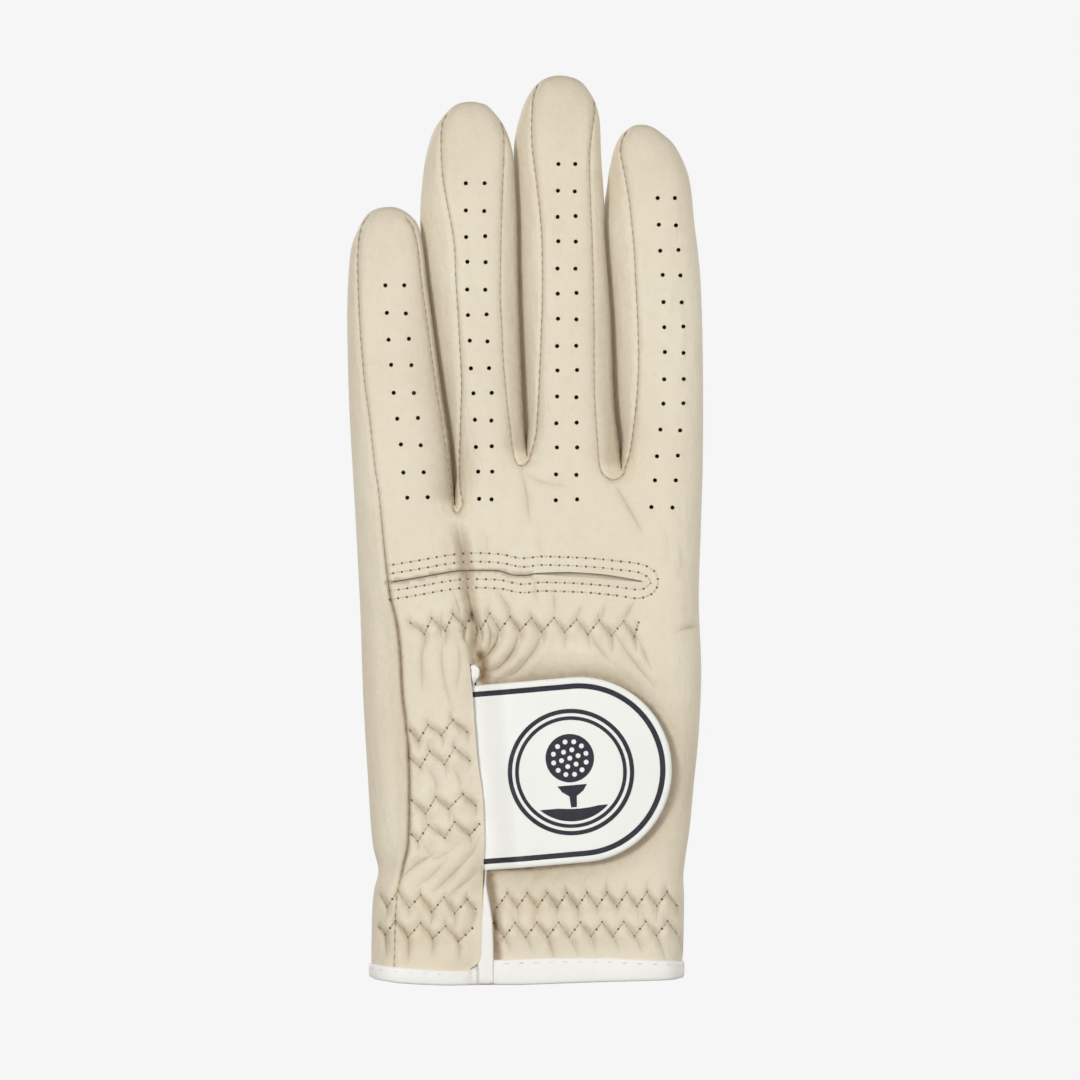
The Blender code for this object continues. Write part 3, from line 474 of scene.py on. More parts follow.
def all_back_creases():
    """Paths, depths and widths of the creases on the back, those from the gathers included."""
    made = [(smooth_path(points, FINE_STEP), depth, width) for points, depth, width in CREASES]
    reaches = [(1.4, 3.8, 0.1)] + [(2.0, 2.6, 0.1)] * 4
    reaches += [(2.0, 3.4, 0.0), (1.4, 6.4, 0.0), (2.4, 3.2, 0.05), (1.4, 5.2, 0.4)]
    for k, corners in enumerate(BACK_ZIGZAGS):
        for points, depth, width in gather_creases(corners, 40 + k, *reaches[k]):
            made.append((smooth_path(points, FINE_STEP), depth, width))
    return made


def all_palm_creases():
    """Paths, depths and widths of the creases on the palm, those from the gathers included."""
    made = [(smooth_path(points, 1.5), depth, width) for points, depth, width in PALM_CREASES]
    for k, corners in enumerate(PALM_ZIGZAGS):
        for points, depth, width in gather_creases(corners, 70 + k, 2.0, 3.4, 0.1):
            made.append((smooth_path(points, FINE_STEP), depth, width))
    return made


BACK_CREASES = all_back_creases()
PALM_CREASE_PATHS = all_palm_creases()


def offset_path(path, amount):
    """The path moved sideways; positive is to the right of its direction of travel."""
    step = np.gradient(path, axis=0)
    step /= np.linalg.norm(step, axis=1)[:, None]
    return path + amount * np.stack([step[:, 1], -step[:, 0]], 1)


def vent_rows():
    """The four stitch rows round the vent, as two loops open at the side seam."""
    loops = []
    for off, end_x in ((2.1, 30.4), (4.2, 32.2)):
        above = vent[vent[:, 0] < 27.6] + [0.0, off]
        below = vent[vent[:, 0] < 27.6] + [0.0, -off]
        middle_z = 98.5
        end = [(end_x - 1.2, middle_z + off * 0.66), (end_x, middle_z),
               (end_x - 1.2, middle_z - off * 0.66)]
        path = np.vstack([above[::6], end, below[::-1][::6]])
        loops.append(smooth_path(path, 0.6))
    return loops


VENT_ROWS = vent_rows()


def soft_noise(x, z, scale, seed):
    """Smooth noise between about -1 and 1."""
    return np.array([noise.noise(Vector((a / scale, b / scale, seed))) for a, b in zip(x, z)])


def bump(offset, width):
    """Soft bump: 1 at no offset, fading to 0 over about twice the width."""
    return np.exp(-(offset / width) ** 2)


# Half thickness of the glove: z and value
THICKNESS_BACK = [(0, 7.6), (8, 7.6), (28, 7.2), (60, 7.8), (95, 7.9), (112, 7.4), (124, 6.6),
                  (140, 5.9), (230, 5.7)]
THICKNESS_PALM = [(0, 7.6), (8, 7.6), (28, 7.2), (60, 7.6), (95, 7.8), (112, 7.4), (124, 6.4),
                  (140, 5.6), (230, 5.4)]
ROUNDING = [(0, 8.5), (60, 10.0), (112, 9.5), (135, 8.2), (230, 8.2)]


def profile(depth, radius):
    """Rounded edge: 0 at the silhouette, 1 from radius inwards."""
    t = np.clip(depth / radius, 0.0, 1.0)
    return np.sqrt(np.maximum(1.0 - (1.0 - t) ** 2, 0.0))


def edge_distance(x, z):
    """Distance from the nearest silhouette edge, measured to whichever finger or side."""
    best = np.full(len(x), 1e9)
    feet = [np.vstack([a[-1], b[0]]) for a, b in zip(EDGES, EDGES[1:])]
    for path in EDGES + feet:
        best = np.minimum(best, distance(x, z, path))
    return best


def body_height(x, z, thickness):
    """Height of the plain glove above its middle plane."""
    radius = np.interp(z, [r[0] for r in ROUNDING], [r[1] for r in ROUNDING])
    full = np.interp(z, [r[0] for r in thickness], [r[1] for r in thickness])
    return full * profile(edge_distance(x, z), radius)


def plain_back(x, z):
    """Height of the back without seams, creases and gathers."""
    return body_height(x, z, THICKNESS_BACK)


def plain_palm(x, z):
    """Height of the palm without seams, creases and gathers."""
    return body_height(x, z, THICKNESS_PALM)


def seam_groove(x, z, names, depth):
    """Grooves where two pieces of leather are sewn together, with the leather rolled up
    beside them. The side seam is drawn in more deeply below the knuckles."""
    h = np.zeros(len(x))
    for name in names:
        d = distance(x, z, SEAMS[name], 5.0)
        deep = depth * np.where(name == "side", np.interp(z, [22, 30, 96, 120],
                                                           [0.5, 1.6, 1.6, 1.0]), 1.0)
        h -= deep * bump(d, 0.34)
        h += deep * 0.5 * bump(d - 1.5, 1.1)
    return h


def crease_depths(x, z, creases):
    """Creases that are deepest in the middle of their length: a thin line in a soft hollow."""
    h = np.zeros(len(x))
    for path, depth, width in creases:
        d, _, along = nearest(x, z, path, 5.0)
        fade = np.sin(np.pi * np.clip(along * 0.86 + 0.07, 0, 1)) ** 0.7
        h -= depth * fade * (0.45 * bump(d, 0.26) + 0.75 * bump(d, 1.5 * width))
        h += depth * 0.55 * fade * bump(d - 3.2 * width, 1.6 * width)
    return h


def crease_shade(x, z, creases):
    """Painted shade: how dark the leather is at the bottom of its creases."""
    tone = np.zeros(len(x))
    for path, depth, _ in creases:
        d, _, along = nearest(x, z, path, 2.0)
        fade = np.sin(np.pi * np.clip(along * 0.9 + 0.05, 0, 1)) ** 0.7
        tone = np.maximum(tone, depth * fade * (0.85 * bump(d, 0.26) + 0.3 * bump(d, 1.1)))
    return tone


def zigzag_relief(x, z, rows, strength):
    """Leather gathered by elastic: the stitches pull down, the cells between them swell."""
    h = np.zeros(len(x))
    for corners in rows:
        path = resample(np.array(corners, float), 0.6)
        d = distance(x, z, path, 4.0)
        h -= 0.5 * strength * bump(d, 0.6)
        for (xa, za), (xb, zb), (xc, zc) in zip(corners, corners[1:], corners[2:]):
            cx = (xa + xb + xc) / 3
            cz = (za + zb * 0.6 + zc) / 2.6
            r2 = ((x - cx) / 1.5) ** 2 + ((z - cz) / 2.4) ** 2
            h += 0.75 * strength * np.exp(-r2)
    return h


def back_height(x, z):
    """Height of the finished back of the glove, in front of its middle plane."""
    x = np.asarray(x, float).ravel()
    z = np.asarray(z, float).ravel()
    plain = plain_back(x, z)
    h = plain.copy()
    flat = np.clip(plain / 6.0, 0.0, 1.0) ** 2
    h += seam_groove(x, z, SEAMS, 0.45)
    d, side, along = nearest(x, z, fold, 8.0)
    ends = np.clip(along * 8, 0, 1) * np.clip((1.12 - along) * 3.0, 0, 1)
    h -= 1.5 * ends * bump(d, 1.5) * (along > 0.01)
    h += 1.1 * ends * bump(np.where(side > 0, d, 9.0) - 2.6, 1.7)
    h += 0.35 * ends * bump(np.where(side < 0, d, 9.0) - 2.8, 1.6)
    d, side, _ = nearest(x, z, vent, 7.0)
    open_part = np.clip((x + 2.0) / 14.0, 0, 1) * np.clip((30.0 - x) / 8.0, 0, 1)
    h += (0.42 + 0.5 * open_part * (side < 0)) * bump(d, 1.6) * (x > -34) * (x < 30)
    for row in VENT_ROWS:
        d = distance(x, z, row, 3.0)
        h -= 0.2 * bump(d, 0.5)
    h += zigzag_relief(x, z, BACK_ZIGZAGS, 1.0)
    h += crease_depths(x, z, BACK_CREASES) * np.clip(plain / 4.0, 0.3, 1.0)
    below = np.clip((80.0 - z) / 6.0, 0, 1)
    d = distance(x, z, flap_edge, 14.0)
    panel = x > x_at(flap_edge, z) + 0.2
    h += below * (1.3 * bump(d - 6.0, 4.5) - 0.25 * bump(d, 2.4)) * ~panel
    h -= below * (1.2 * bump(d, 4.2) + 0.5 * bump(d - 1.6, 1.2)) * panel
    d = distance(x, z, slit_shadow, 8.0)
    h -= 1.5 * bump(d, 1.9) * panel
    d = distance(x, z, panel_shadow, 8.0)
    h -= 0.9 * bump(d, 0.9) * panel
    d = distance(x, z, tab_rim, 8.0)
    h -= 0.7 * bump(d - 0.4, 2.2) * (x > -8.0)
    puff = ((x - 14.0) / 24.0) ** 2 + ((z - 78.5) / 4.5) ** 2
    h += 0.9 * np.exp(-puff)
    dimple = ((x - 11.2) / 2.4) ** 2 + ((z - 207.0) / 6.0) ** 2
    h -= 0.55 * np.exp(-dimple)
    h += flat * (0.22 * soft_noise(x, z, 13.0, 3.0) + 0.09 * soft_noise(x, z * 0.6, 4.2, 8.0))
    return np.maximum(h, np.minimum(plain, 0.4))


def palm_height(x, z):
    """Height of the finished palm behind the glove's middle plane."""
    x = np.asarray(x, float).ravel()
    z = np.asarray(z, float).ravel()
    plain = plain_palm(x, z)
    flat = np.clip(plain / 6.0, 0.0, 1.0) ** 2
    h = plain + seam_groove(x, z, [n for n in SEAMS if n != "side"], 0.5)
    h += zigzag_relief(x, z, PALM_ZIGZAGS, 0.8)
    h += crease_depths(x, z, PALM_CREASE_PATHS) * np.clip(plain / 4.0, 0.3, 1.0)
    d = distance(x, z, thumb_seam, 6.0)
    h += 0.35 * bump(d - 1.3, 0.9) - 0.55 * bump(d, 0.5)
    h += flat * (0.3 * soft_noise(x, z, 14.0, 21.0) + 0.1 * soft_noise(x, z * 0.7, 5.0, 27.0))
    return np.maximum(h, np.minimum(plain, 0.4))

# ------------------------------------------------------------------ the leather skin


def perforation_centres():
    """Places of the perforations, two columns on each finger."""
    centres = []
    for rows, line in PERFORATIONS.values():
        heights = np.linspace(line[0][0], line[-1][0], rows)
        zs = [p[0] for p in line][::-1]
        for column in (1, 2):
            xs = [p[column] for p in line][::-1]
            for k, z in enumerate(heights):
                wobble = 0.22 * math.sin(k * 2.3 + column)
                centres.append((float(np.interp(z, zs, xs)) + 0.5 * wobble, z + wobble))
    return centres


def circle(x, z, radius, count):
    """Evenly spaced points on a circle."""
    angles = np.linspace(0, 2 * math.pi, count, endpoint=False)
    return np.stack([x + radius * np.cos(angles), z + radius * np.sin(angles)], 1)


def vent_hole():
    """Outline of the opening between the vent's lips: shut on the left, open on the right."""
    x = vent[:, 0]
    wide = 0.14 + 0.62 * np.clip((x - 1.0) / 9.0, 0, 1) * np.clip((28.6 - x) / 9.0, 0, 1) ** 0.7
    inner = vent[x > -33.0]
    wide = wide[x > -33.0][:, None] * [[0.0, 1.0]]
    return np.vstack([inner - 0.75 * wide, (inner + 0.75 * wide)[::-1]])


def placket_hole():
    """Outline of the open slit between the flap and the back panel."""
    top = [[-13.5, 78.5]]
    return np.vstack([flap_edge[::-1], top, panel_edge])


def outline_loop():
    """Whole silhouette with the open lower edge, as one closed loop."""
    left = float(x_at(left_side[:20], HEM_EDGE))
    right = float(x_at(index_edge[-20:], HEM_EDGE))
    sides = np.vstack(EDGES)
    sides = sides[sides[:, 1] > HEM_EDGE + 0.3]
    bottom_x = np.arange(right - 0.6, left + 0.4, -EDGE_STEP)
    bottom = np.stack([bottom_x, np.full(len(bottom_x), HEM_EDGE)], 1)
    return np.vstack([[[left, HEM_EDGE]], sides, [[right, HEM_EDGE]], bottom])


LOOP = outline_loop()


def hex_points(spacing, seed):
    """Points on a slightly jittered triangular grid over the glove."""
    rng = np.random.default_rng(seed)
    rows = np.arange(HEM_EDGE, 223.0, spacing * 0.866)
    points = []
    for k, z in enumerate(rows):
        xs = np.arange(-45.0, 45.0, spacing) + (spacing / 2 if k % 2 else 0.0)
        points.append(np.stack([xs, np.full(len(xs), z)], 1))
    points = np.vstack(points)
    return points + rng.uniform(-0.16, 0.16, points.shape) * spacing


def triangulate(loops, lines, free):
    """Triangles inside the first loop and outside the others, with the loops and the lines
    among their edges. Returns flat points and triangles."""
    edges = []
    total = 0
    for item, is_loop in [(loop, True) for loop in loops] + [(line, False) for line in lines]:
        count = len(item)
        links = count if is_loop else count - 1
        edges += [(total + k, total + (k + 1) % count) for k in range(links)]
        total += count
    given = [Vector(p) for p in np.vstack([*loops, *lines, free])]
    verts, _, faces, _, _, _ = delaunay_2d_cdt(given, edges, [], 0, 1e-4)
    xz = np.array([(v.x, v.y) for v in verts])
    tris = np.array([f for f in faces if len(f) == 3])
    centre = xz[tris].mean(1)
    keep = within(centre, loops[0])
    for hole in loops[1:]:
        keep &= ~within(centre, hole)
    return xz, tris[keep]


def sheet_mesh(height, sign, spacing, seam_names, holes, features, folds, seed):
    """Triangulates one side of the glove and gives it its height.
    Returns the points in 3-D and the triangles."""
    lines = [SEAMS[name] for name in seam_names] + features
    loose = []
    for row in EDGE_ROWS:
        for path in EDGES:
            ring = offset_path(path, row)
            loose.append(ring[edge_distance(ring[:, 0], ring[:, 1]) > row * 0.9])
    for name in seam_names:
        for row in SEAM_ROWS:
            for s in (-1, 1):
                loose.append(offset_path(SEAMS[name], s * row))
    for line in folds:
        for s in (-1, 1):
            loose.append(offset_path(line, s * FOLD_ROW))
    for hole in holes:
        middle = hole.mean(0)
        span = np.linalg.norm(hole - middle, axis=1).max()
        if span < 1.0:
            loose.append(circle(middle[0], middle[1], span + 0.42, 10))
    loose = np.vstack(loose)
    keep = np.ones(len(loose), bool)
    solid = [h for h in holes if len(h) > 14]
    for line in lines + [closed(h) for h in solid]:
        keep &= far(loose, line, 1.0) > 0.2
    for line in folds:
        keep &= far(loose, line, 1.0) > 0.22
    grid = hex_points(spacing, seed)
    kept = edge_distance(grid[:, 0], grid[:, 1]) > EDGE_ROWS[-1] + spacing * 0.4
    for line in lines:
        kept &= far(grid, line, 1.5) > SEAM_ROWS[-1] + spacing * 0.35
    for line in folds:
        kept &= far(grid, line, 1.5) > FOLD_ROW + 0.3
    for hole in holes:
        kept &= far(grid, closed(hole), 2.0) > (0.85 if len(hole) <= 14 else 0.5)
    free = np.vstack([loose[keep], grid[kept]])
    free = free[within(free, LOOP) & (free[:, 1] > HEM_EDGE + 0.4)]
    xz, tris = triangulate([LOOP] + holes, lines + folds, free)
    y = sign * height(xz[:, 0], xz[:, 1])
    rim = edge_distance(xz[:, 0], xz[:, 1]) < 1e-3
    y[rim] = 0.0
    points = np.stack([xz[:, 0], y, xz[:, 1]], 1)
    a, b, c = (points[tris[:, k]] for k in range(3))
    facing = np.cross(b - a, c - a)[:, 1] * sign
    tris[facing < 0] = tris[facing < 0][:, ::-1]
    return points, tris


def strip_loops():
    """The three valleys between the fingers, bounded by the seams beside them."""
    high = 240.0
    ring = np.vstack([SEAMS["little"], SEAMS["ring_left"][::-1], [[-20.0, high], [-30.0, high]]])
    middle = np.vstack([SEAMS["ring_right"], SEAMS["middle_left"][::-1],
                        [[2.6, high], [-6.0, high]]])
    index = np.vstack([SEAMS["middle_right"], SEAMS["index_left"][::-1],
                       [[24.8, high], [16.8, high]]])
    return [ring, middle, index]


def gap_middles():
    """Middle line of each gap between two fingers, continued to the crotch seam."""
    lines = []
    for a, b, foot in ((left_side, ring_edge, (-16.9, 115.0)), (ring_edge, middle_edge, (-0.3, 126.5)),
                       (middle_edge, index_edge, (21.5, 123.0))):
        zs = np.linspace(b[0, 1], min(a[:, 1].max(), b[:, 1].max()) - 2.0, 30)
        right_of_a = a[np.argmax(a[:, 1]):]
        left_of_b = b[:np.argmax(b[:, 1]) + 1]
        xs = (x_at(right_of_a, zs) + x_at(left_of_b, zs)) / 2
        lines.append(np.vstack([[foot], np.stack([xs, zs], 1)]))
    return lines


GAPS = gap_middles()
STRIPS = strip_loops()


def name_triangles(points, tris, palm):
    """Name of the piece that each triangle belongs to."""
    centre = points[tris].mean(1)
    x = centre[:, 0]
    z = centre[:, 2]
    finger = np.zeros(len(x), int)
    for line in GAPS:
        finger += beyond(x, z, line) > 0
    base = np.array([BASE[n] for n in FINGER_NAMES])[finger]
    strip = np.full(len(x), -1)
    for k, loop in enumerate(STRIPS):
        strip[inside(x, z, loop)] = k
    wrap = (x < x_at(SEAMS["side"], z)) & (z < SIDE_SEAM_TOP)
    names = []
    for f, s, w, above in zip(finger, strip, wrap, z > base):
        name = FINGER_NAMES[f]
        if s >= 0 and above:
            names.append(name + ("_fourchette_inner" if s == f else "_fourchette_outer"))
        elif s >= 0:
            names.append("fourchette_roots")
        elif above:
            names.append(name + ("_finger_palm" if palm or w else "_finger_back"))
        else:
            names.append("palm_panel" if palm or w else "back_panel")
    return names


def base_lines():
    """Lines across the fingers' bases, where the leather is split between the bodies."""
    lines = []
    spans = {"little": (-42.3, -18.1), "ring": (-16.9, -0.2), "middle": (0.95, 22.6),
             "index": (23.7, 43.0)}
    for name, (low, high) in spans.items():
        xs = np.arange(low, high, 0.9)
        lines.append(np.stack([xs, np.full(len(xs), BASE[name])], 1))
    return lines


def clear_stretches(lines, margin, measure):
    """The stretches of the lines whose distance from something is more than the margin."""
    kept = []
    for line in lines:
        run = []
        for point, room in zip(line, measure(line[:, 0], line[:, 1])):
            if room > margin:
                run.append(point)
                continue
            if len(run) > 1:
                kept.append(np.array(run))
            run = []
        if len(run) > 1:
            kept.append(np.array(run))
    return kept


def zigzag_distance(x, z):
    """Distance from the nearest zigzag of the back."""
    best = np.full(len(x), 1e9)
    for corners in BACK_ZIGZAGS:
        best = np.minimum(best, distance(x, z, np.array(corners, float)))
    return best


def build_skin():
    """Both sheets, welded along the silhouette. Returns the points on a flat glove and as
    they lie, the named triangles and which points belong to the back."""
    holes = [circle(x, z, HOLE_RADIUS, 10) for x, z in perforation_centres()]
    back_holes = holes + [vent_hole(), placket_hole()]
    back_folds = clear_stretches([path for path, _, _ in BACK_CREASES], 0.5, zigzag_distance)
    back_folds += [leg_points(corners, 0.7) for corners in BACK_ZIGZAGS]
    back_folds += [panel_shadow, corner_shadow, fold, offset_path(tab_rim, 0.9)]
    back_folds = clear_stretches(back_folds, 1.5, edge_distance)
    palm_folds = [leg_points(corners, 1.0) for corners in PALM_ZIGZAGS]
    palm_folds = clear_stretches(palm_folds + [thumb_seam], 2.0, edge_distance)
    back = sheet_mesh(back_height, -1, BACK_SPACING, list(SEAMS), back_holes, base_lines(),
                      back_folds, 5)
    thumb_hole = [thumb_hole_loop()]
    others = [n for n in SEAMS if n != "side"]
    palm = sheet_mesh(palm_height, 1, PALM_SPACING, others, thumb_hole, base_lines(),
                      palm_folds, 6)
    names = name_triangles(*back, False) + name_triangles(*palm, True)
    points = np.vstack([back[0], palm[0]])
    tris = np.vstack([back[1], palm[1] + len(back[0])])
    keys = {}
    target = np.arange(len(points))
    for i in np.nonzero(np.abs(points[:, 1]) < 1e-9)[0]:
        key = tuple(np.round(points[i], 3))
        target[i] = keys.setdefault(key, i)
    laid = points.copy()
    dx, dy = shingle(points[:, 0], points[:, 2])
    laid[:, 0] += dx
    laid[:, 1] += dy
    return points, laid, target[tris], names, np.arange(len(points)) < len(back[0])


def shingle(x, z):
    """Neighbouring fingers overlap a little: how far a point is moved along x and y so that
    each finger's right edge lies in front of the next finger's left edge."""
    dx = np.zeros(len(x))
    dy = np.zeros(len(x))
    for line, top in zip(GAPS, CONTACT_TOPS):
        d = beyond(x, z, line)
        foot = line[1, 1]
        rise = eased(np.clip((z - foot) / 8.0, 0, 1))
        above = 1.0 - 0.8 * eased(np.clip((z - top) / 14.0, 0, 1))
        wide = np.clip(1.0 - np.abs(d) / 9.0, 0, 1) ** 1.5
        near = np.clip(1.0 - np.abs(d) / 3.0, 0, 1) * np.clip((z - foot) / 1.5 + 0.8, 0, 1)
        behind = 2.5 + 0.8 * np.clip(1.0 - (z - foot) / 45.0, 0, 1)
        dy += np.where(d > 0, behind, -1.9) * wide * rise * above
        dx += np.where(d > 0, -0.42, 0.24) * near * above
    return dx, dy


def vertex_normals(points, tris):
    """Smooth normals, weighted by area."""
    a, b, c = (points[tris[:, k]] for k in range(3))
    face = np.cross(b - a, c - a)
    total = np.zeros_like(points)
    for k in range(3):
        np.add.at(total, tris[:, k], face)
    length = np.linalg.norm(total, axis=1)
    length[length == 0] = 1.0
    return total / length[:, None]


def new_object(name, verts, faces, materials, smooth=True):
    """Object from points in millimetres."""
    mesh = bpy.data.meshes.new(name)
    mesh.from_pydata((np.asarray(verts) * MM).tolist(), [], [list(f) for f in faces])
    for made in materials:
        mesh.materials.append(made)
    if smooth:
        mesh.shade_smooth()
    mesh.validate()
    made = bpy.data.objects.new(name, mesh)
    bpy.context.scene.collection.objects.link(made)
    return made


def shell_faces(tris, count):
    """Faces of a shell whose outer and inner points are numbered alike, count apart: both
    sides and the edge round them. Also returns the edge."""
    directed = {}
    for a, b, c in tris:
        for i, j in ((a, b), (b, c), (c, a)):
            directed[(i, j)] = True
    rim = [(i, j) for i, j in directed if (j, i) not in directed]
    faces = tris.tolist() + (tris[:, ::-1] + count).tolist()
    return faces + [(j, i, i + count, j + count) for i, j in rim], rim


def leather_piece(name, points, normals, tris, material, shade):
    """Closed piece of leather: the outer face, the inner face and the cut edge round it."""
    used, flat = np.unique(tris, return_inverse=True)
    faces = flat.reshape(-1, 3)
    outer = points[used]
    count = len(used)
    all_faces, rim = shell_faces(faces, count)
    inward = normals[used].copy()
    cut = np.array(rim).ravel()
    cut = cut[np.abs(inward[cut, 1]) > 0.6]
    inward[cut] = np.stack([inward[cut, 0] * 0, np.sign(inward[cut, 1]), inward[cut, 2] * 0], 1)
    inner = outer - inward * LEATHER
    made = new_object(name, np.vstack([outer, inner]), all_faces, [material])
    mesh = made.data
    if len(mesh.vertices) == 2 * count:
        loop_vert = np.zeros(len(mesh.loops), np.int32)
        mesh.loops.foreach_get("vertex_index", loop_vert)
        split = np.vstack([normals[used], -normals[used]]).astype(np.float32)[loop_vert]
        first_rim = 3 * 2 * len(faces)
        split[first_rim:] = 0.0
        mesh.normals_split_custom_set(split.tolist())
    # Per point: how far seam lines and painted shade darken the leather.
    tone = mesh.attributes.new("seam_lines_and_painted_shade", "FLOAT", "POINT")
    tone.data.foreach_set("value", np.concatenate([shade[used], shade[used]]).astype(np.float32))
    return made

# ------------------------------------------------------------------ materials


def srgb(r, g, b):
    """Linear colour from 0 to 255 display values."""
    return tuple(((c / 255 + 0.055) / 1.055) ** 2.4 if c > 10 else c / 3294.6 for c in (r, g, b))


class Nodes:
    """Small helper that adds nodes to a material and joins them."""

    def __init__(self, name, roughness, specular=0.35, sheen=0.0):
        self.material = bpy.data.materials.new(name)
        self.material.use_nodes = True
        self.tree = self.material.node_tree
        self.shader = self.tree.nodes["Principled BSDF"]
        self.shader.inputs["Roughness"].default_value = roughness
        self.shader.inputs["Specular IOR Level"].default_value = specular
        self.shader.inputs["Sheen Weight"].default_value = sheen
        self.place = self.add("ShaderNodeTexCoord").outputs["Object"]

    def add(self, kind, **values):
        node = self.tree.nodes.new(kind)
        for key, value in values.items():
            if hasattr(node, key):
                setattr(node, key, value)
            else:
                node.inputs[key.replace("_", " ")].default_value = value
        return node

    def join(self, source, target):
        self.tree.links.new(source, target)
        return target

    def stretched(self, scale):
        """Object coordinates scaled by a different amount along each axis."""
        node = self.add("ShaderNodeMapping")
        node.inputs["Scale"].default_value = scale
        self.join(self.place, node.inputs["Vector"])
        return node.outputs["Vector"]

    def noise(self, scale, detail=3.0, vector=None, rough=0.5):
        node = self.add("ShaderNodeTexNoise", Scale=scale, Detail=detail, Roughness=rough)
        self.join(vector or self.place, node.inputs["Vector"])
        return node.outputs["Fac"]

    def cells(self, scale, feature="F1"):
        node = self.add("ShaderNodeTexVoronoi", feature=feature, Scale=scale)
        self.join(self.place, node.inputs["Vector"])
        return node.outputs["Distance"]

    def ramp(self, value, low, high, first=0.0, last=1.0):
        node = self.add("ShaderNodeMapRange")
        node.inputs["From Min"].default_value = low
        node.inputs["From Max"].default_value = high
        node.inputs["To Min"].default_value = first
        node.inputs["To Max"].default_value = last
        self.join(value, node.inputs["Value"])
        return node.outputs["Result"]

    def math(self, kind, a, b):
        node = self.add("ShaderNodeMath", operation=kind)
        for slot, value in ((0, a), (1, b)):
            if isinstance(value, (int, float)):
                node.inputs[slot].default_value = value
            else:
                self.join(value, node.inputs[slot])
        return node.outputs["Value"]

    def mix(self, factor, a, b, kind="MIX"):
        node = self.add("ShaderNodeMix", data_type="RGBA", blend_type=kind)
        self.join(factor, node.inputs["Factor"])
        for slot, value in (("A", a), ("B", b)):
            target = [i for i in node.inputs if i.name == slot and i.type == "RGBA"][0]
            if isinstance(value, tuple):
                target.default_value = (*value, 1.0)
            else:
                self.join(value, target)
        return [o for o in node.outputs if o.type == "RGBA"][0]

    def colour(self, value):
        self.join(value, self.shader.inputs["Base Color"])

    def relief(self, height, depth, strength=1.0, under=None):
        """Bump of the given depth in millimetres."""
        node = self.add("ShaderNodeBump")
        node.inputs["Strength"].default_value = strength
        node.inputs["Distance"].default_value = depth * MM
        self.join(height, node.inputs["Height"])
        if under is not None:
            self.join(under, node.inputs["Normal"])
        self.join(node.outputs["Normal"], self.shader.inputs["Normal"])
        return node.outputs["Normal"]

    def roughness(self, value):
        self.join(value, self.shader.inputs["Roughness"])


def leather_material(name, light, middle, shade):
    """Soft sheepskin: blotchy cream, fine pebble grain with pores, small stretch wrinkles, darkened
    towards warm brown by the seam lines and painted shade that the skin carries.
    """
    n = Nodes(name, 0.6, specular=0.28, sheen=0.06)
    blotch = n.ramp(n.noise(34.0, 4.0), 0.34, 0.68)
    tone = n.mix(blotch, middle, light)
    speck = n.ramp(n.noise(420.0, 3.0), 0.5, 0.8, 0.0, 0.2)
    tone = n.mix(speck, tone, shade)
    streak = n.ramp(n.noise(1.0, 3.0, n.stretched((150.0, 150.0, 42.0))), 0.52, 0.85, 0.0, 0.22)
    tone = n.mix(streak, tone, shade)
    # Seam lines and painted shade, stored per point on the skin, darken the colour towards warm brown;
    # the noise only varies their strength.
    seam = n.add("ShaderNodeAttribute", attribute_name="seam_lines_and_painted_shade")
    seam_lines_and_shade = n.math("MULTIPLY", seam.outputs["Fac"], n.ramp(n.noise(700.0, 2.0), 0.3, 0.7, 0.75, 1.0))
    tone = n.mix(seam_lines_and_shade, tone, srgb(118, 84, 36))
    n.colour(tone)
    grain = n.ramp(n.cells(1250.0), 0.0, 0.75)
    pores = n.ramp(n.noise(900.0, 4.0, rough=0.62), 0.32, 0.7)
    fine = n.math("ADD", n.math("MULTIPLY", grain, 0.4), n.math("MULTIPLY", pores, 0.6))
    first = n.relief(fine, 0.09)
    wrinkle = n.noise(1.0, 5.0, n.stretched((300.0, 300.0, 95.0)), rough=0.58)
    n.relief(n.ramp(wrinkle, 0.38, 0.7), 0.16, under=first)
    n.roughness(n.ramp(pores, 0.0, 1.0, 0.66, 0.5))
    return n.material


def white_material(name, colour):
    """White synthetic leather: nearly even colour, very fine grain."""
    n = Nodes(name, 0.5, specular=0.32)
    cloud = n.ramp(n.noise(60.0, 3.0), 0.35, 0.7)
    n.colour(n.mix(cloud, tuple(c * 0.965 for c in colour), colour))
    grain = n.math("ADD", n.math("MULTIPLY", n.cells(1500.0), 0.5),
                   n.math("MULTIPLY", n.noise(1400.0, 3.0), 0.5))
    n.relief(grain, 0.07)
    n.roughness(n.ramp(n.noise(300.0, 2.0), 0.3, 0.7, 0.44, 0.56))
    return n.material


def film_material(name, colour):
    """Printed film: matt navy with a faint texture from the material under it."""
    n = Nodes(name, 0.5, specular=0.3)
    mottled = n.ramp(n.noise(500.0, 3.0), 0.35, 0.7)
    n.colour(n.mix(mottled, tuple(c * 0.82 for c in colour), tuple(c * 1.2 for c in colour)))
    n.relief(n.cells(1500.0), 0.05)
    n.roughness(n.ramp(n.noise(240.0, 2.0), 0.3, 0.7, 0.45, 0.6))
    return n.material


def thread_material(name, colour):
    """Sewing thread: twisted strands."""
    n = Nodes(name, 0.7, specular=0.25, sheen=0.2)
    n.colour(n.mix(n.ramp(n.noise(900.0, 2.0), 0.35, 0.65), tuple(c * 0.7 for c in colour), colour))
    n.relief(n.noise(2600.0, 2.0, n.stretched((1.0, 1.0, 0.4))), 0.06)
    return n.material


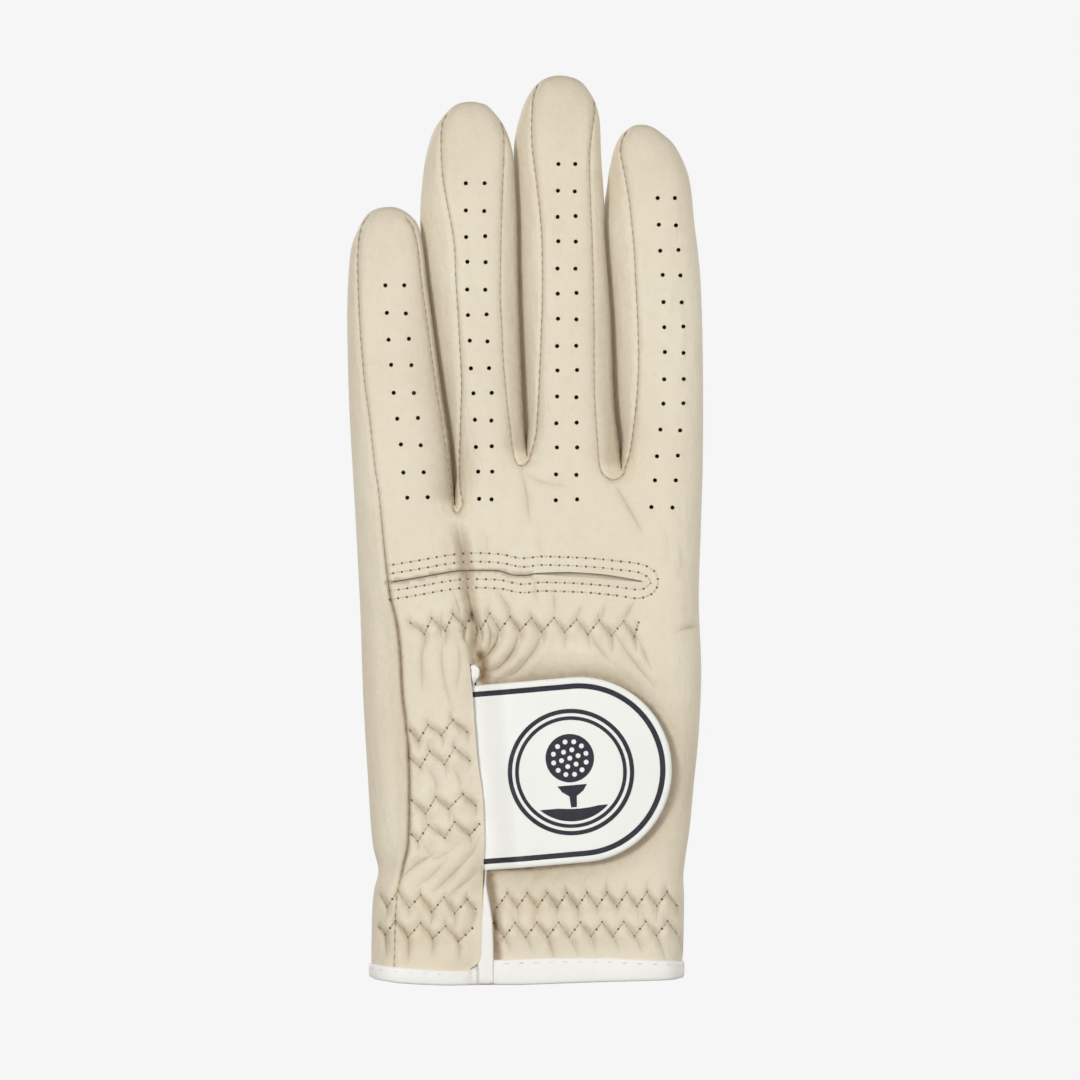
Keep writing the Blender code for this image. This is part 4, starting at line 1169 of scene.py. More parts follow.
def webbing_material(name, colour, across):
    """Knitted elastic: ribs along the band and small loops across them."""
    n = Nodes(name, 0.85, specular=0.15, sheen=0.3)
    wave = n.add("ShaderNodeTexWave", bands_direction=across)
    wave.inputs["Scale"].default_value = 320.0
    wave.inputs["Distortion"].default_value = 1.6
    n.join(n.place, wave.inputs["Vector"])
    rib = wave.outputs["Fac"]
    n.colour(n.mix(rib, tuple(c * 0.72 for c in colour), colour))
    n.relief(n.math("ADD", rib, n.noise(1500.0, 2.0)), 0.2)
    return n.material


def tape_material(name, colour, scale, depth):
    """Hook or loop tape: dense rough pile."""
    n = Nodes(name, 0.9, specular=0.15, sheen=0.4)
    pile = n.math("ADD", n.cells(scale), n.noise(scale * 1.3, 3.0))
    n.colour(n.mix(n.ramp(pile, 0.5, 1.3), tuple(c * 0.6 for c in colour), colour))
    n.relief(pile, depth)
    return n.material


MATERIALS = {
    "cream_leather": leather_material("cream_leather_fine", srgb(224, 215, 194),
                                      srgb(221, 209, 186), srgb(204, 188, 157)),
    "palm_leather": leather_material("palm_leather_fine", srgb(221, 212, 191),
                                     srgb(217, 205, 182), srgb(200, 184, 153)),
    "white_synthetic": white_material("white_synthetic_fine", srgb(238, 238, 233)),
    "white_binding": white_material("white_binding_fine", srgb(238, 236, 231)),
    "navy_film": film_material("navy_film_fine", srgb(42, 42, 52)),
    "thread": thread_material("sewing_thread", srgb(196, 182, 150)),
    "light_thread": thread_material("light_thread", srgb(222, 212, 188)),
    "seam_thread": thread_material("seam_thread", srgb(176, 158, 126)),
    "white_thread": thread_material("white_thread", srgb(236, 234, 226)),
    # Dark colour of the needle holes: painted shade in the holes.
    "needle_hole": thread_material("needle_hole", srgb(122, 101, 72)),
    "elastic_webbing": webbing_material("elastic_webbing_fine", srgb(224, 218, 202), "Z"),
    "hook_tape": tape_material("hook_tape_fine", srgb(226, 222, 212), 1500.0, 0.35),
    "loop_tape": tape_material("loop_tape_fine", srgb(226, 216, 196), 900.0, 0.4),
}

# ------------------------------------------------------------------ stitches


def laid_point(x, z, side):
    """Points on the leather as it lies."""
    height = back_height if side < 0 else palm_height
    dx, dy = shingle(x, z)
    return np.stack([x + dx, side * height(x, z) + dy, z], 1)


def surface_point(x, z, side):
    """Points on the leather and the directions out of it."""
    step = 0.35
    points = laid_point(x, z, side)
    along_x = laid_point(x + step, z, side) - points
    along_z = laid_point(x, z + step, side) - points
    normal = np.cross(along_x, along_z)
    normal *= np.sign(normal[:, 1] * side)[:, None]
    normal /= np.linalg.norm(normal, axis=1)[:, None]
    return points, normal


def ring_points(middle, size, right, up, sides):
    """Points on a circle round a middle point."""
    turns = [2 * math.pi * j / sides for j in range(sides)]
    return [middle + size * (math.cos(t) * right + math.sin(t) * up) for t in turns]


def tube_faces(first, rings, sides):
    """Faces of a closed tube made of rings of points, the first of which has that number."""
    faces = []
    for i in range(rings - 1):
        for j in range(sides):
            a = first + i * sides + j
            b = first + i * sides + (j + 1) % sides
            faces.append((a, b, b + sides, a + sides))
    last = first + (rings - 1) * sides
    return faces + [list(range(first, first + sides))[::-1], list(range(last, last + sides))]


def stitch_marks(path, pitch, length, start=0.0):
    """Start and end of each stitch along a path."""
    steps = travelled(path)
    marks = []
    s = start + 0.2
    while s + length < steps[-1]:
        marks.append([[float(np.interp(v, steps, path[:, k])) for k in (0, 1)]
                      for v in (s, s + length)])
        s += pitch
    return marks


def thread_mesh(name, marks, radius, side, material, lift=0.35, surface=None):
    """One small rounded stroke of thread per stitch, its ends sunk in the leather."""
    rings = 6
    sides = 6
    marks = np.array(marks)
    t = np.linspace(0.0, 1.0, rings)
    x = (marks[:, 0, 0][:, None] * (1 - t) + marks[:, 1, 0][:, None] * t).ravel()
    z = (marks[:, 0, 1][:, None] * (1 - t) + marks[:, 1, 1][:, None] * t).ravel()
    points, normals = surface(x, z) if surface else surface_point(x, z, side)
    points = points.reshape(len(marks), rings, 3)
    normals = normals.reshape(len(marks), rings, 3)
    arch = np.sin(np.pi * t)
    verts = []
    faces = []
    for k in range(len(marks)):
        along = points[k, -1] - points[k, 0]
        along /= max(np.linalg.norm(along), 1e-9)
        first = len(verts)
        for i in range(rings):
            n = normals[k, i]
            across = np.cross(along, n)
            across /= max(np.linalg.norm(across), 1e-9)
            middle = points[k, i] + n * radius * (lift + 0.55 * arch[i] - 0.5)
            size = radius * (0.35 + 0.65 * arch[i] ** 0.5)
            verts += ring_points(middle, size, across, n, sides)
        faces += tube_faces(first, rings, sides)
    return closed_object(name, verts, faces, material)


def dress(piece, body=None, replaces=()):
    """States the body that a piece rides on and the CAD nodes it replaces. A
    piece without a body here is put on no body."""
    if body:
        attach(piece, body)
    if replaces:
        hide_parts(*replaces)


def closed_object(name, verts, faces, material):
    """Object with its faces turned outwards."""
    made = new_object(name, verts, faces, [material])
    build = bmesh.new()
    build.from_mesh(made.data)
    bmesh.ops.recalc_face_normals(build, faces=build.faces)
    build.to_mesh(made.data)
    build.free()
    return made


def needle_holes(name, centres, radius, side):
    """Small pits where the needle went through, coloured dark as painted shade in the holes."""
    centres = np.array(centres)
    points, normals = surface_point(centres[:, 0], centres[:, 1], side)
    verts = []
    faces = []
    sides = 7
    for p, n in zip(points, normals):
        across = np.cross(n, [0.0, 0.0, 1.0])
        across /= max(np.linalg.norm(across), 1e-9)
        up = np.cross(across, n)
        first = len(verts)
        for level, size in ((0.2, 0.55), (0.15, 1.0), (-0.3, 0.7)):
            verts += ring_points(p + n * level, radius * size, across, up, sides)
        faces += tube_faces(first, 3, sides)
    return closed_object(name, verts, faces, MATERIALS["needle_hole"])

# ------------------------------------------------------------------ plates


def plate(name, loop, top, bottom, material, rows=(), spacing=1.5, holes=(), side=-1,
          round_edge=0.0):
    """Closed plate over the glove. top and bottom give its faces' heights at x, z; round_edge
    is the radius of its rounded rim."""
    ring = closed(loop)
    loose = []
    for row in rows:
        for s in (-1, 1):
            shifted = offset_path(ring, s * row)
            loose.append(shifted[within(shifted, loop) & (far(shifted, ring) > row * 0.9)])
    low = loop.min(0)
    high = loop.max(0)
    xs, zs = np.meshgrid(np.arange(low[0], high[0], spacing), np.arange(low[1], high[1], spacing))
    xs = xs + np.where(np.arange(xs.shape[0])[:, None] % 2, spacing / 2, 0.0)
    grid = np.stack([xs.ravel(), zs.ravel()], 1)
    margin = max(rows, default=0.0) + spacing * 0.4
    free = np.vstack([*loose, grid[within(grid, loop) & (far(grid, ring) > margin)]])
    for hole in holes:
        free = free[(far(free, closed(hole), 2.0) > spacing * 0.3) & ~within(free, hole)]
    xz, tris = triangulate([loop, *holes], [], free)
    used, flat = np.unique(tris, return_inverse=True)
    tris = flat.reshape(-1, 3)
    xz = xz[used]
    upper = top(xz[:, 0], xz[:, 1])
    lower = bottom(xz[:, 0], xz[:, 1])
    if round_edge:
        full = 0.25 + 0.75 * profile(far(xz, ring), round_edge)
        middle = (upper + lower) / 2
        upper = middle + (upper - middle) * full
        lower = middle + (lower - middle) * full
    front = np.stack([xz[:, 0], side * upper, xz[:, 1]], 1)
    back = np.stack([xz[:, 0], side * lower, xz[:, 1]], 1)
    faces, _ = shell_faces(tris, len(xz))
    made = closed_object(name, np.vstack([front, back]), faces, material)
    made.data.set_sharp_from_angle(angle=math.radians(50))
    return made


def tab_along(x, z):
    """Distance of a point along the tab from its fold."""
    return (x - TAB_ROOT[0]) * math.cos(TAB_TILT) + (z - TAB_ROOT[1]) * math.sin(TAB_TILT)


def tab_top(x, z):
    """Height of the tab's face: it climbs out from under the flap and arches over the
    back of the hand, and its rim is turned and slightly padded."""
    u = np.clip(np.abs(x - 1.2) / 39.8, 0, 0.97)
    arch = 7.85 * (1 - u ** 3.6) ** (1 / 3.6) + 3.05
    along = tab_along(x, z)
    rise = eased(np.clip((along - 0.8) / 9.0, 0, 1))
    d = distance(x, z, tab_edge)
    welt = 0.22 * bump(d - 1.0, 0.75) - 0.16 * bump(d - 2.2, 0.6)
    lift = 0.35 * np.clip((along - 30.0) / 16.0, 0, 1) ** 2
    swell = 0.25 * soft_noise(x, z, 17.0, 33.0)
    return 6.7 + (arch - 6.7) * rise + (welt + swell * 0.6 + lift) * rise


def make_tab():
    """Closing tab: face, stripe, emblem, hook tape; loop tape on the back of the hand."""
    def bends(piece):
        start, end = ((x * MM, 0.0, z * MM) for x, z in (tab_point(-3.0, 0.0), tab_point(5.0, 0.0)))
        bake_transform(piece)
        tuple(start)
        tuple(end)

    face = plate("tab_face_fine", tab_loop(0.0, -8.0), tab_top, lambda x, z: tab_top(x, z) - 1.35,
                 MATERIALS["white_synthetic"], rows=(0.15, 0.45, 0.9, 1.5, 2.2, 3.0),
                 spacing=1.6, round_edge=0.75)
    bends(face)
    dress(face, replaces=("tab_face", "tab_root"))

    def film(name, loop, holes, node, moves):
        piece = plate(name, loop, lambda x, z: tab_top(x, z) + 0.06,
                      lambda x, z: tab_top(x, z) - 0.12, MATERIALS["navy_film"], spacing=1.2,
                      holes=holes)
        if moves:
            bends(piece)
        dress(piece, None if moves else "tab", (node,) if node else ())

    def open_loop(inset):
        """The tab's outline at an inset, without its straight end at the fold."""
        line = tab_loop(inset, -3.0, 0.9)
        half = TAB_WIDTH / 2 - inset
        return line[:len(line) - len(np.arange(half, -half, -0.9))]

    film("tab_stripe_fine", np.vstack([open_loop(1.55), open_loop(2.85)[::-1]]), [], "tab_stripe",
         True)

    def tab_circle(radius, across, count, along=EMBLEM_ALONG):
        turn = np.linspace(0, 2 * math.pi, count, endpoint=False)
        return np.array([tab_point(along + radius * math.cos(t), across + radius * math.sin(t))
                         for t in turn])

    def emblem_loop(points):
        """Outline given from the middle of the emblem, as places on the glove."""
        return np.array([tab_point(EMBLEM_ALONG + a, EMBLEM_ACROSS + b) for a, b in points])

    film("tab_emblem_outer_ring", tab_circle(15.4, EMBLEM_ACROSS, 90),
         [tab_circle(14.35, EMBLEM_ACROSS, 84)], "tab_emblem_ring", False)
    film("tab_emblem_inner_ring", tab_circle(13.6, EMBLEM_ACROSS, 84),
         [tab_circle(12.7, EMBLEM_ACROSS, 80)], None, False)
    dimple = 0.62
    dimples = [tab_circle(dimple, BALL_ACROSS, 10)]
    for ring, count in ((2.1, 6), (4.1, 12)):
        for k in range(count):
            turn = 2 * math.pi * k / count + 0.2
            dimples.append(tab_circle(dimple, BALL_ACROSS + ring * math.sin(turn), 10,
                                      EMBLEM_ALONG + ring * math.cos(turn)))
    film("tab_emblem_ball_fine", tab_circle(5.9, BALL_ACROSS, 60), dimples, "tab_emblem_ball",
         False)
    tee = [(-3.6, -3.2), (3.6, -3.2), (2.6, -4.7), (0.9, -5.9), (0.7, -8.6), (-0.7, -8.6),
           (-0.9, -5.9), (-2.6, -4.7)]
    film("tab_emblem_tee_fine", emblem_loop(tee), [], "tab_emblem_tee", False)
    radius = 12.0
    chord = math.asin(8.6 / radius)
    turf = [(radius * math.cos(t), radius * math.sin(t))
            for t in np.linspace(math.pi + chord, 2 * math.pi - chord, 30)]
    film("tab_emblem_turf", emblem_loop(turf), [], None, False)

    hook = plate("hook_patch_fine", tab_loop(4.0, 14.0), lambda x, z: tab_top(x, z) - 1.3,
                 lambda x, z: tab_top(x, z) - 2.1, MATERIALS["hook_tape"], spacing=1.6)
    dress(hook, "tab", ("hook_patch",))
    loop = plate("loop_patch_fine", tab_loop(4.5, 12.0), lambda x, z: plain_back(x, z) + 0.75,
                 lambda x, z: plain_back(x, z) - 0.35, MATERIALS["loop_tape"], spacing=1.6,
                 round_edge=0.6, rows=(0.3,))
    dress(loop, "hand", ("loop_patch",))


# ------------------------------------------------------------------ bindings


def tape_levels(x, side):
    """Lower and upper edge of the cuff binding at x; side is -1 on the back."""
    low = np.interp(x, [-38.5, -37.0, -35.0, -31.5, -26.0, -19.0, -1.5, 19.5, 36.0, 38.5],
                    [2.3, 1.5, 1.1, 0.6, 0.25, 0.05, 0.15, 0.9, 1.3, 1.8])
    if side < 0:
        high = np.interp(x, [-38.5, -32.0, -22.4, -15.0, -13.4, -12.2, -11.2, -7.6, 5.9, 19.5,
                             29.8, 38.5],
                         [5.2, 4.6, 3.9, 3.7, 4.3, 5.6, 6.6, 6.3, 6.8, 6.8, 6.3, 5.9])
    else:
        high = np.interp(x, [-38.5, 38.5], [5.3, 5.9])
    return low, high


def tape_edges(x, y):
    """Lower and upper edge of the cuff binding where its path passes x, y, from the back's
    levels in front to the palm's levels behind."""
    palm_share = 0.5 + 0.5 * np.clip(y / 4.0, -1, 1)
    return [back * (1 - palm_share) + palm * palm_share
            for back, palm in zip(tape_levels(x, -1), tape_levels(x, 1))]


def make_cuff_binding():
    """White tape folded over the wrist edge, from one side of the placket right round to
    the other."""
    level = 3.2
    edge_left = float(x_at(left_side[:40], level))
    edge_right = float(x_at(index_edge[-40:], level))
    front_left = np.arange(-8.2, edge_left, -0.7)
    front_right = np.arange(edge_right, -11.0, -0.7)
    across = np.linspace(edge_left, edge_right, 110)
    parts = []
    for xs, side, height in ((front_left, -1, back_height), (across, 1, palm_height),
                             (front_right, -1, back_height)):
        y = side * height(xs, np.full(len(xs), level))
        parts.append(np.stack([xs, y, np.full(len(xs), float(side))], 1))
    left_fold = [[edge_left - 0.02, y, -1.0] for y in (-0.9, 0.0, 0.9)]
    right_fold = [[edge_right + 0.02, y, 1.0] for y in (0.9, 0.0, -0.9)]
    parts[2][:, 1] += 1.9 * eased(np.clip((-6.6 - front_right) / 3.0, 0, 1))
    parts[0][:, 1] += 1.7 * eased(np.clip((front_left + 11.8) / 2.4, 0, 1))
    path = np.vstack([parts[0], left_fold, parts[1], right_fold, parts[2]])
    fine = resample(path, 0.7)
    for _ in range(3):
        fine[1:-1, :2] = 0.25 * fine[:-2, :2] + 0.5 * fine[1:-1, :2] + 0.25 * fine[2:, :2]
    step = np.gradient(fine[:, :2], axis=0)
    step /= np.linalg.norm(step, axis=1)[:, None]
    out = np.stack([-step[:, 1], step[:, 0]], 1)
    if out[5, 1] > 0:
        out = -out
    section = 16
    verts = []
    for k, (x, y, _) in enumerate(fine):
        low, high = tape_edges(x, y)
        ends = min(k, len(fine) - 1 - k)
        full = math.sin(math.pi / 2 * min(1.0, (ends + 0.6) / 2.2))
        ripple = 0.05 * math.sin(k * 0.9) + 0.04 * math.sin(k * 0.37)
        for j in range(section):
            angle = 2 * math.pi * j / section
            c = math.cos(angle)
            s = math.sin(angle)
            outward = 0.95 * math.copysign(abs(c) ** 0.6, c) * full
            up = math.copysign(abs(s) ** 0.45, s)
            z = (low + high) / 2 + (high - low) / 2 * up * (0.7 + 0.3 * full)
            pinch = 0.12 * math.exp(-((z - high + 1.0) / 0.5) ** 2) * (c > 0)
            reach = outward - 0.2 + (ripple - pinch) * (c > 0)
            verts.append((x + out[k, 0] * reach, y + out[k, 1] * reach, z))
    tape = closed_object("cuff_binding_fine", verts, tube_faces(0, len(fine), section),
                         MATERIALS["white_binding"])
    tape.data.set_sharp_from_angle(angle=math.radians(75))
    dress(tape, "hand", ("cuff_binding",))
    stitch_binding(fine, out)


def stitch_binding(path, out):
    """Stitches near the upper edge of the cuff binding, on its outer face."""
    verts = []
    faces = []
    sides = 6
    rings = 5
    steps = travelled(path[:, :2])
    length = 1.3
    s = 2.0
    while s + length < steps[-1]:
        faces += tube_faces(len(verts), rings, sides)
        for t in np.linspace(0, 1, rings):
            at = s + length * t
            x, y = (float(np.interp(at, steps, path[:, k])) for k in (0, 1))
            n = np.array([float(np.interp(at, steps, out[:, k])) for k in (0, 1)])
            high = tape_edges(x, y)[1]
            arch = math.sin(math.pi * t)
            place = np.array([*(np.array([x, y]) + n * (0.56 + 0.12 * arch)), high - 1.0])
            size = 0.16 * (0.3 + 0.7 * arch ** 0.5)
            verts += ring_points(place, size, np.array([*n, 0.0]), np.array([0.0, 0.0, 1.0]), sides)
        s += 3.6
    made = closed_object("cuff_binding_stitches", verts, faces, MATERIALS["white_thread"])
    dress(made, "hand")


PLACKET_TAPE = [(-8.0, 0.5), (-7.95, 6.0), (-8.0, 11.0), (-8.2, 15.5), (-8.7, 19.0),
                (-9.3, 22.2), (-9.7, 25.0), (-9.6, 30.0), (-10.2, 45.0), (-11.6, 60.0),
                (-12.9, 70.0), (-12.4, 73.9), (-11.5, 75.2), (-11.3, 76.8), (-12.0, 78.0),
                (-13.3, 78.2), (-14.5, 77.4), (-15.0, 73.5), (-14.2, 60.0), (-13.0, 45.0),
                (-12.4, 25.0), (-12.9, 12.0), (-12.4, 7.5), (-11.7, 4.5), (-11.5, 0.5)]


def make_placket_binding():
    """White tape along the flap's free edge, ending in a rounded tip at the top of the slit."""
    loop = smooth_path(PLACKET_TAPE, FINE_STEP)

    def top(x, z):
        level = np.interp(z, [0, 18, 24, 28, 66, 73, 75, 80],
                          [7.9, 7.7, 6.9, 6.2, 6.0, 6.6, 8.2, 8.3])
        tucked = np.clip((x_at(flap_edge, z) + 0.3 - x) / 1.2, 0, 1)
        return level - 1.7 * tucked

    tape = plate("placket_binding_fine", loop, top, lambda x, z: top(x, z) - 1.3,
                 MATERIALS["white_binding"], rows=(0.15, 0.4, 0.8), spacing=0.9, round_edge=0.8)
    dress(tape, "hand", ("placket_binding",))


# ------------------------------------------------------------------ inner pieces


def rectangle(x_low, x_high, z_low, z_high, step=1.5):
    """Outline of a rectangle, with points along its sides."""
    xs = np.arange(x_low, x_high, step)
    zs = np.arange(z_low, z_high, step)
    loop = [(x, z_low) for x in xs] + [(x_high, z) for z in zs]
    loop += [(x, z_high) for x in xs[::-1] + step * 0.5] + [(x_low, z) for z in zs[::-1][:-1]]
    return np.array(loop)


def make_inner_pieces():
    """Elastics behind the gathers and the strip behind the vent."""
    elastics = {
        "knuckle_elastic": (-28.0, 27.0, 83.5, 91.5, -1),
        "flap_elastic_upper": (-27.6, -14.4, 52.0, 65.5, -1),
        "flap_elastic_lower": (-27.6, -14.4, 34.0, 47.5, -1),
        "cuff_elastic_flap": (-29.2, -13.2, 10.0, 23.5, -1),
        "cuff_elastic_back": (-5.4, 33.0, 10.0, 23.5, -1),
        "cuff_elastic_palm": (-32.0, 32.0, 10.0, 23.5, 1),
    }
    for name, (x0, x1, z0, z1, side) in elastics.items():
        plain = plain_back if side < 0 else plain_palm
        top, bottom = (lambda x, z, f=plain, level=level: f(x, z) - level - 0.22 * np.sin(x * 2.4)
                       for level in ELASTIC_LEVELS)
        piece = plate(name + "_fine", rectangle(x0, x1, z0, z1), top, bottom,
                      MATERIALS["elastic_webbing"], spacing=0.8, side=side)
        dress(piece, "hand", (name,))
    facing = plate("vent_facing_fine", rectangle(-31.0, 31.5, 94.0, 105.0),
                   lambda x, z: plain_back(x, z) - 2.7, lambda x, z: plain_back(x, z) - 3.2,
                   MATERIALS["cream_leather"], spacing=1.5)
    dress(facing, "hand", ("vent_facing",))


# ------------------------------------------------------------------ thumb


def thumb_frame(s, e, y):
    """Point at distance s along the folded thumb, e across it and height y."""
    x = THUMB_BASE[0] - s * math.sin(THUMB_TILT) + e * math.cos(THUMB_TILT)
    z = THUMB_BASE[1] + s * math.cos(THUMB_TILT) + e * math.sin(THUMB_TILT)
    return x, y, z


def thumb_hole_loop():
    """Oval hole of the palm that the thumb is set into."""
    turn = np.linspace(0, 2 * math.pi, 60, endpoint=False)
    points = [thumb_frame(THUMB_HOLE[1] * math.sin(t), THUMB_HOLE[0] * math.cos(t), 0.0)
              for t in turn]
    return np.array([(x, z) for x, _, z in points])


THUMB_WIDTH = [(-20.5, 1.0), (-19.6, 5.0), (-17.0, 9.4), (-12.0, 13.0), (-4.0, 15.2),
               (5.0, 15.2), (14.0, 13.6), (24.0, 12.3), (36.0, 11.8), (44.0, 11.4), (50.0, 10.2),
               (54.0, 8.2), (56.8, 5.4), (58.2, 2.6), (58.6, 0.9)]
thumb_width = smooth_path(THUMB_WIDTH, 0.5)


def thumb_root_seam():
    """Seam on the palm round the root of the thumb, 1.3 mm outside it."""
    steps = np.arange(8.0, -20.4, -0.8)
    wide = np.interp(steps, thumb_width[:, 0], thumb_width[:, 1]) + 1.3
    side_a = [thumb_frame(s, e, 0.0) for s, e in zip(steps, wide)]
    side_b = [thumb_frame(s, -e, 0.0) for s, e in zip(steps[::-1], wide[::-1])]
    foot = [thumb_frame(-21.8, e, 0.0) for e in (1.6, 0.0, -1.6)]
    return resample(np.array([(x, z) for x, _, z in side_a + foot + side_b]), 0.9)


thumb_seam = thumb_root_seam()


def thumb_point(s, angle):
    """Point of the thumb's skin at distance s along it and the given angle round it."""
    half = float(np.interp(s, thumb_width[:, 0], thumb_width[:, 1]))
    crown = float(profile(half, 10.5))
    root = eased(float(np.clip((s - THUMB_ROOT_END) / 18.0, 0, 1)))
    middle, rise, sink = (at_root + (beyond_root - at_root) * root for at_root, beyond_root
                          in (THUMB_MIDDLE, THUMB_RISE, THUMB_SINK))
    c = math.cos(angle)
    t = math.sin(angle)
    wide = math.copysign(abs(c) ** 0.86, c)
    tall = math.copysign(abs(t) ** 0.86, t)
    turn = angle % math.pi
    seam = 0.35 * math.exp(-(min(turn, math.pi - turn) / 0.1) ** 2)
    e = (half - seam) * wide
    x, y, z = thumb_frame(s, e, middle + (rise if t > 0 else sink) * crown * tall)
    soft = noise.noise(Vector((x / 11.0, z / 11.0, 5.0 + 3.0 * (t > 0))))
    fold = math.exp(-((s - 9.0 - 2.0 * math.sin(e * 0.2)) / 1.2) ** 2)
    fold += 0.7 * math.exp(-((s - 33.0 + 0.1 * e) / 1.0) ** 2)
    return np.array([x, y + (0.3 * soft - 0.45 * fold * (t > 0.1)) * abs(t), z])


def thumb_surface(s, angle):
    """Points of the thumb's skin and the directions out of it."""
    points = np.array([thumb_point(a, b) for a, b in zip(s, angle)])
    ahead = np.array([thumb_point(a + 0.4, b) for a, b in zip(s, angle)]) - points
    round_it = np.array([thumb_point(a, b + 0.04) for a, b in zip(s, angle)]) - points
    normals = np.cross(round_it, ahead)
    return points, normals / np.linalg.norm(normals, axis=1)[:, None]


def thumb_blend(piece):
    """Bakes the piece's place into its mesh."""
    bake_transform(piece)


def make_thumb_stitches():
    """Stitches along both sides of the thumb and round its root."""
    marks = [[[s, angle], [s + 1.25, angle]] for angle in (0.2, math.pi - 0.2)
             for s in np.arange(4.0, 54.0, 2.1)]
    sides = thread_mesh("thumb_side_stitches", marks, 0.14, 1, MATERIALS["seam_thread"],
                        lift=0.6, surface=thumb_surface)
    thumb_blend(sides)
    dress(sides)
    root = thread_mesh("thumb_root_stitches", stitch_marks(thumb_seam, *THUMB_STITCH), 0.15, 1,
                       MATERIALS["seam_thread"], lift=0.6)
    dress(root, "hand")


def make_thumb():
    """Thumb folded over the palm: a closed tube of two leathers, whose root is set in the
    palm. The root is put on the hand's body and the rest on no body."""
    steps = np.concatenate([np.linspace(-20.4, -12.0, 16), np.linspace(-11.2, 46.0, 68),
                            np.linspace(46.8, 58.5, 24)])
    count = 56
    turns = [2 * math.pi * j / count for j in range(count)]

    def label_of(step, j):
        """Piece that the skin belongs to at a step along the thumb, at the turn numbered j."""
        if step <= THUMB_ROOT_END:
            return "thumb_root"
        return "thumb_outer" if j < count // 2 else "thumb_inner"

    grid = [[thumb_point(s, angle) for angle in turns] for s in steps]
    points = np.array(grid).reshape(-1, 3)
    rows = len(steps)
    tris = []
    names = []
    for i in range(rows - 1):
        for j in range(count):
            a = i * count + j
            b = i * count + (j + 1) % count
            tris += [(a, b, b + count), (a, b + count, a + count)]
            names += [label_of(steps[i + 1], j)] * 2
    for i, flip in ((0, True), (rows - 1, False)):
        middle = len(points)
        points = np.vstack([points, points[i * count:(i + 1) * count].mean(0)])
        for j in range(count):
            a = i * count + j
            b = i * count + (j + 1) % count
            tris.append((b, a, middle) if flip else (a, b, middle))
            names.append(label_of(steps[i], j))
    tris = np.array(tris)
    normals = vertex_normals(points, tris)
    centre = points[: rows * count].mean(0)
    test = rows // 2 * count + count // 4
    if normals[test] @ (points[test] - centre) < 0:
        tris = tris[:, ::-1]
        normals = -normals
    names = np.array(names)
    shade = np.zeros(len(points))
    across = np.arange(len(points)) % count
    near_side = np.minimum(np.minimum(across, count - across), np.abs(across - count // 2))
    shade[: rows * count] = 0.4 * np.exp(-(near_side[: rows * count] / 0.8) ** 2)
    for label in ("thumb_root", "thumb_outer", "thumb_inner"):
        piece = leather_piece(label + "_skin", points, normals, tris[names == label],
                              MATERIALS["palm_leather"], shade)
        moves = label != "thumb_root"
        if moves:
            thumb_blend(piece)
        dress(piece, None if moves else "hand", (label,))


# ------------------------------------------------------------------ assembly


def finger_blend(piece, name):
    """Bakes the piece's place into its mesh."""
    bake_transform(piece)


def body_of_piece(name):
    """Finger that a piece of leather belongs to, if any."""
    for finger in FINGER_NAMES:
        if name.startswith(finger + "_"):
            return finger
    return None


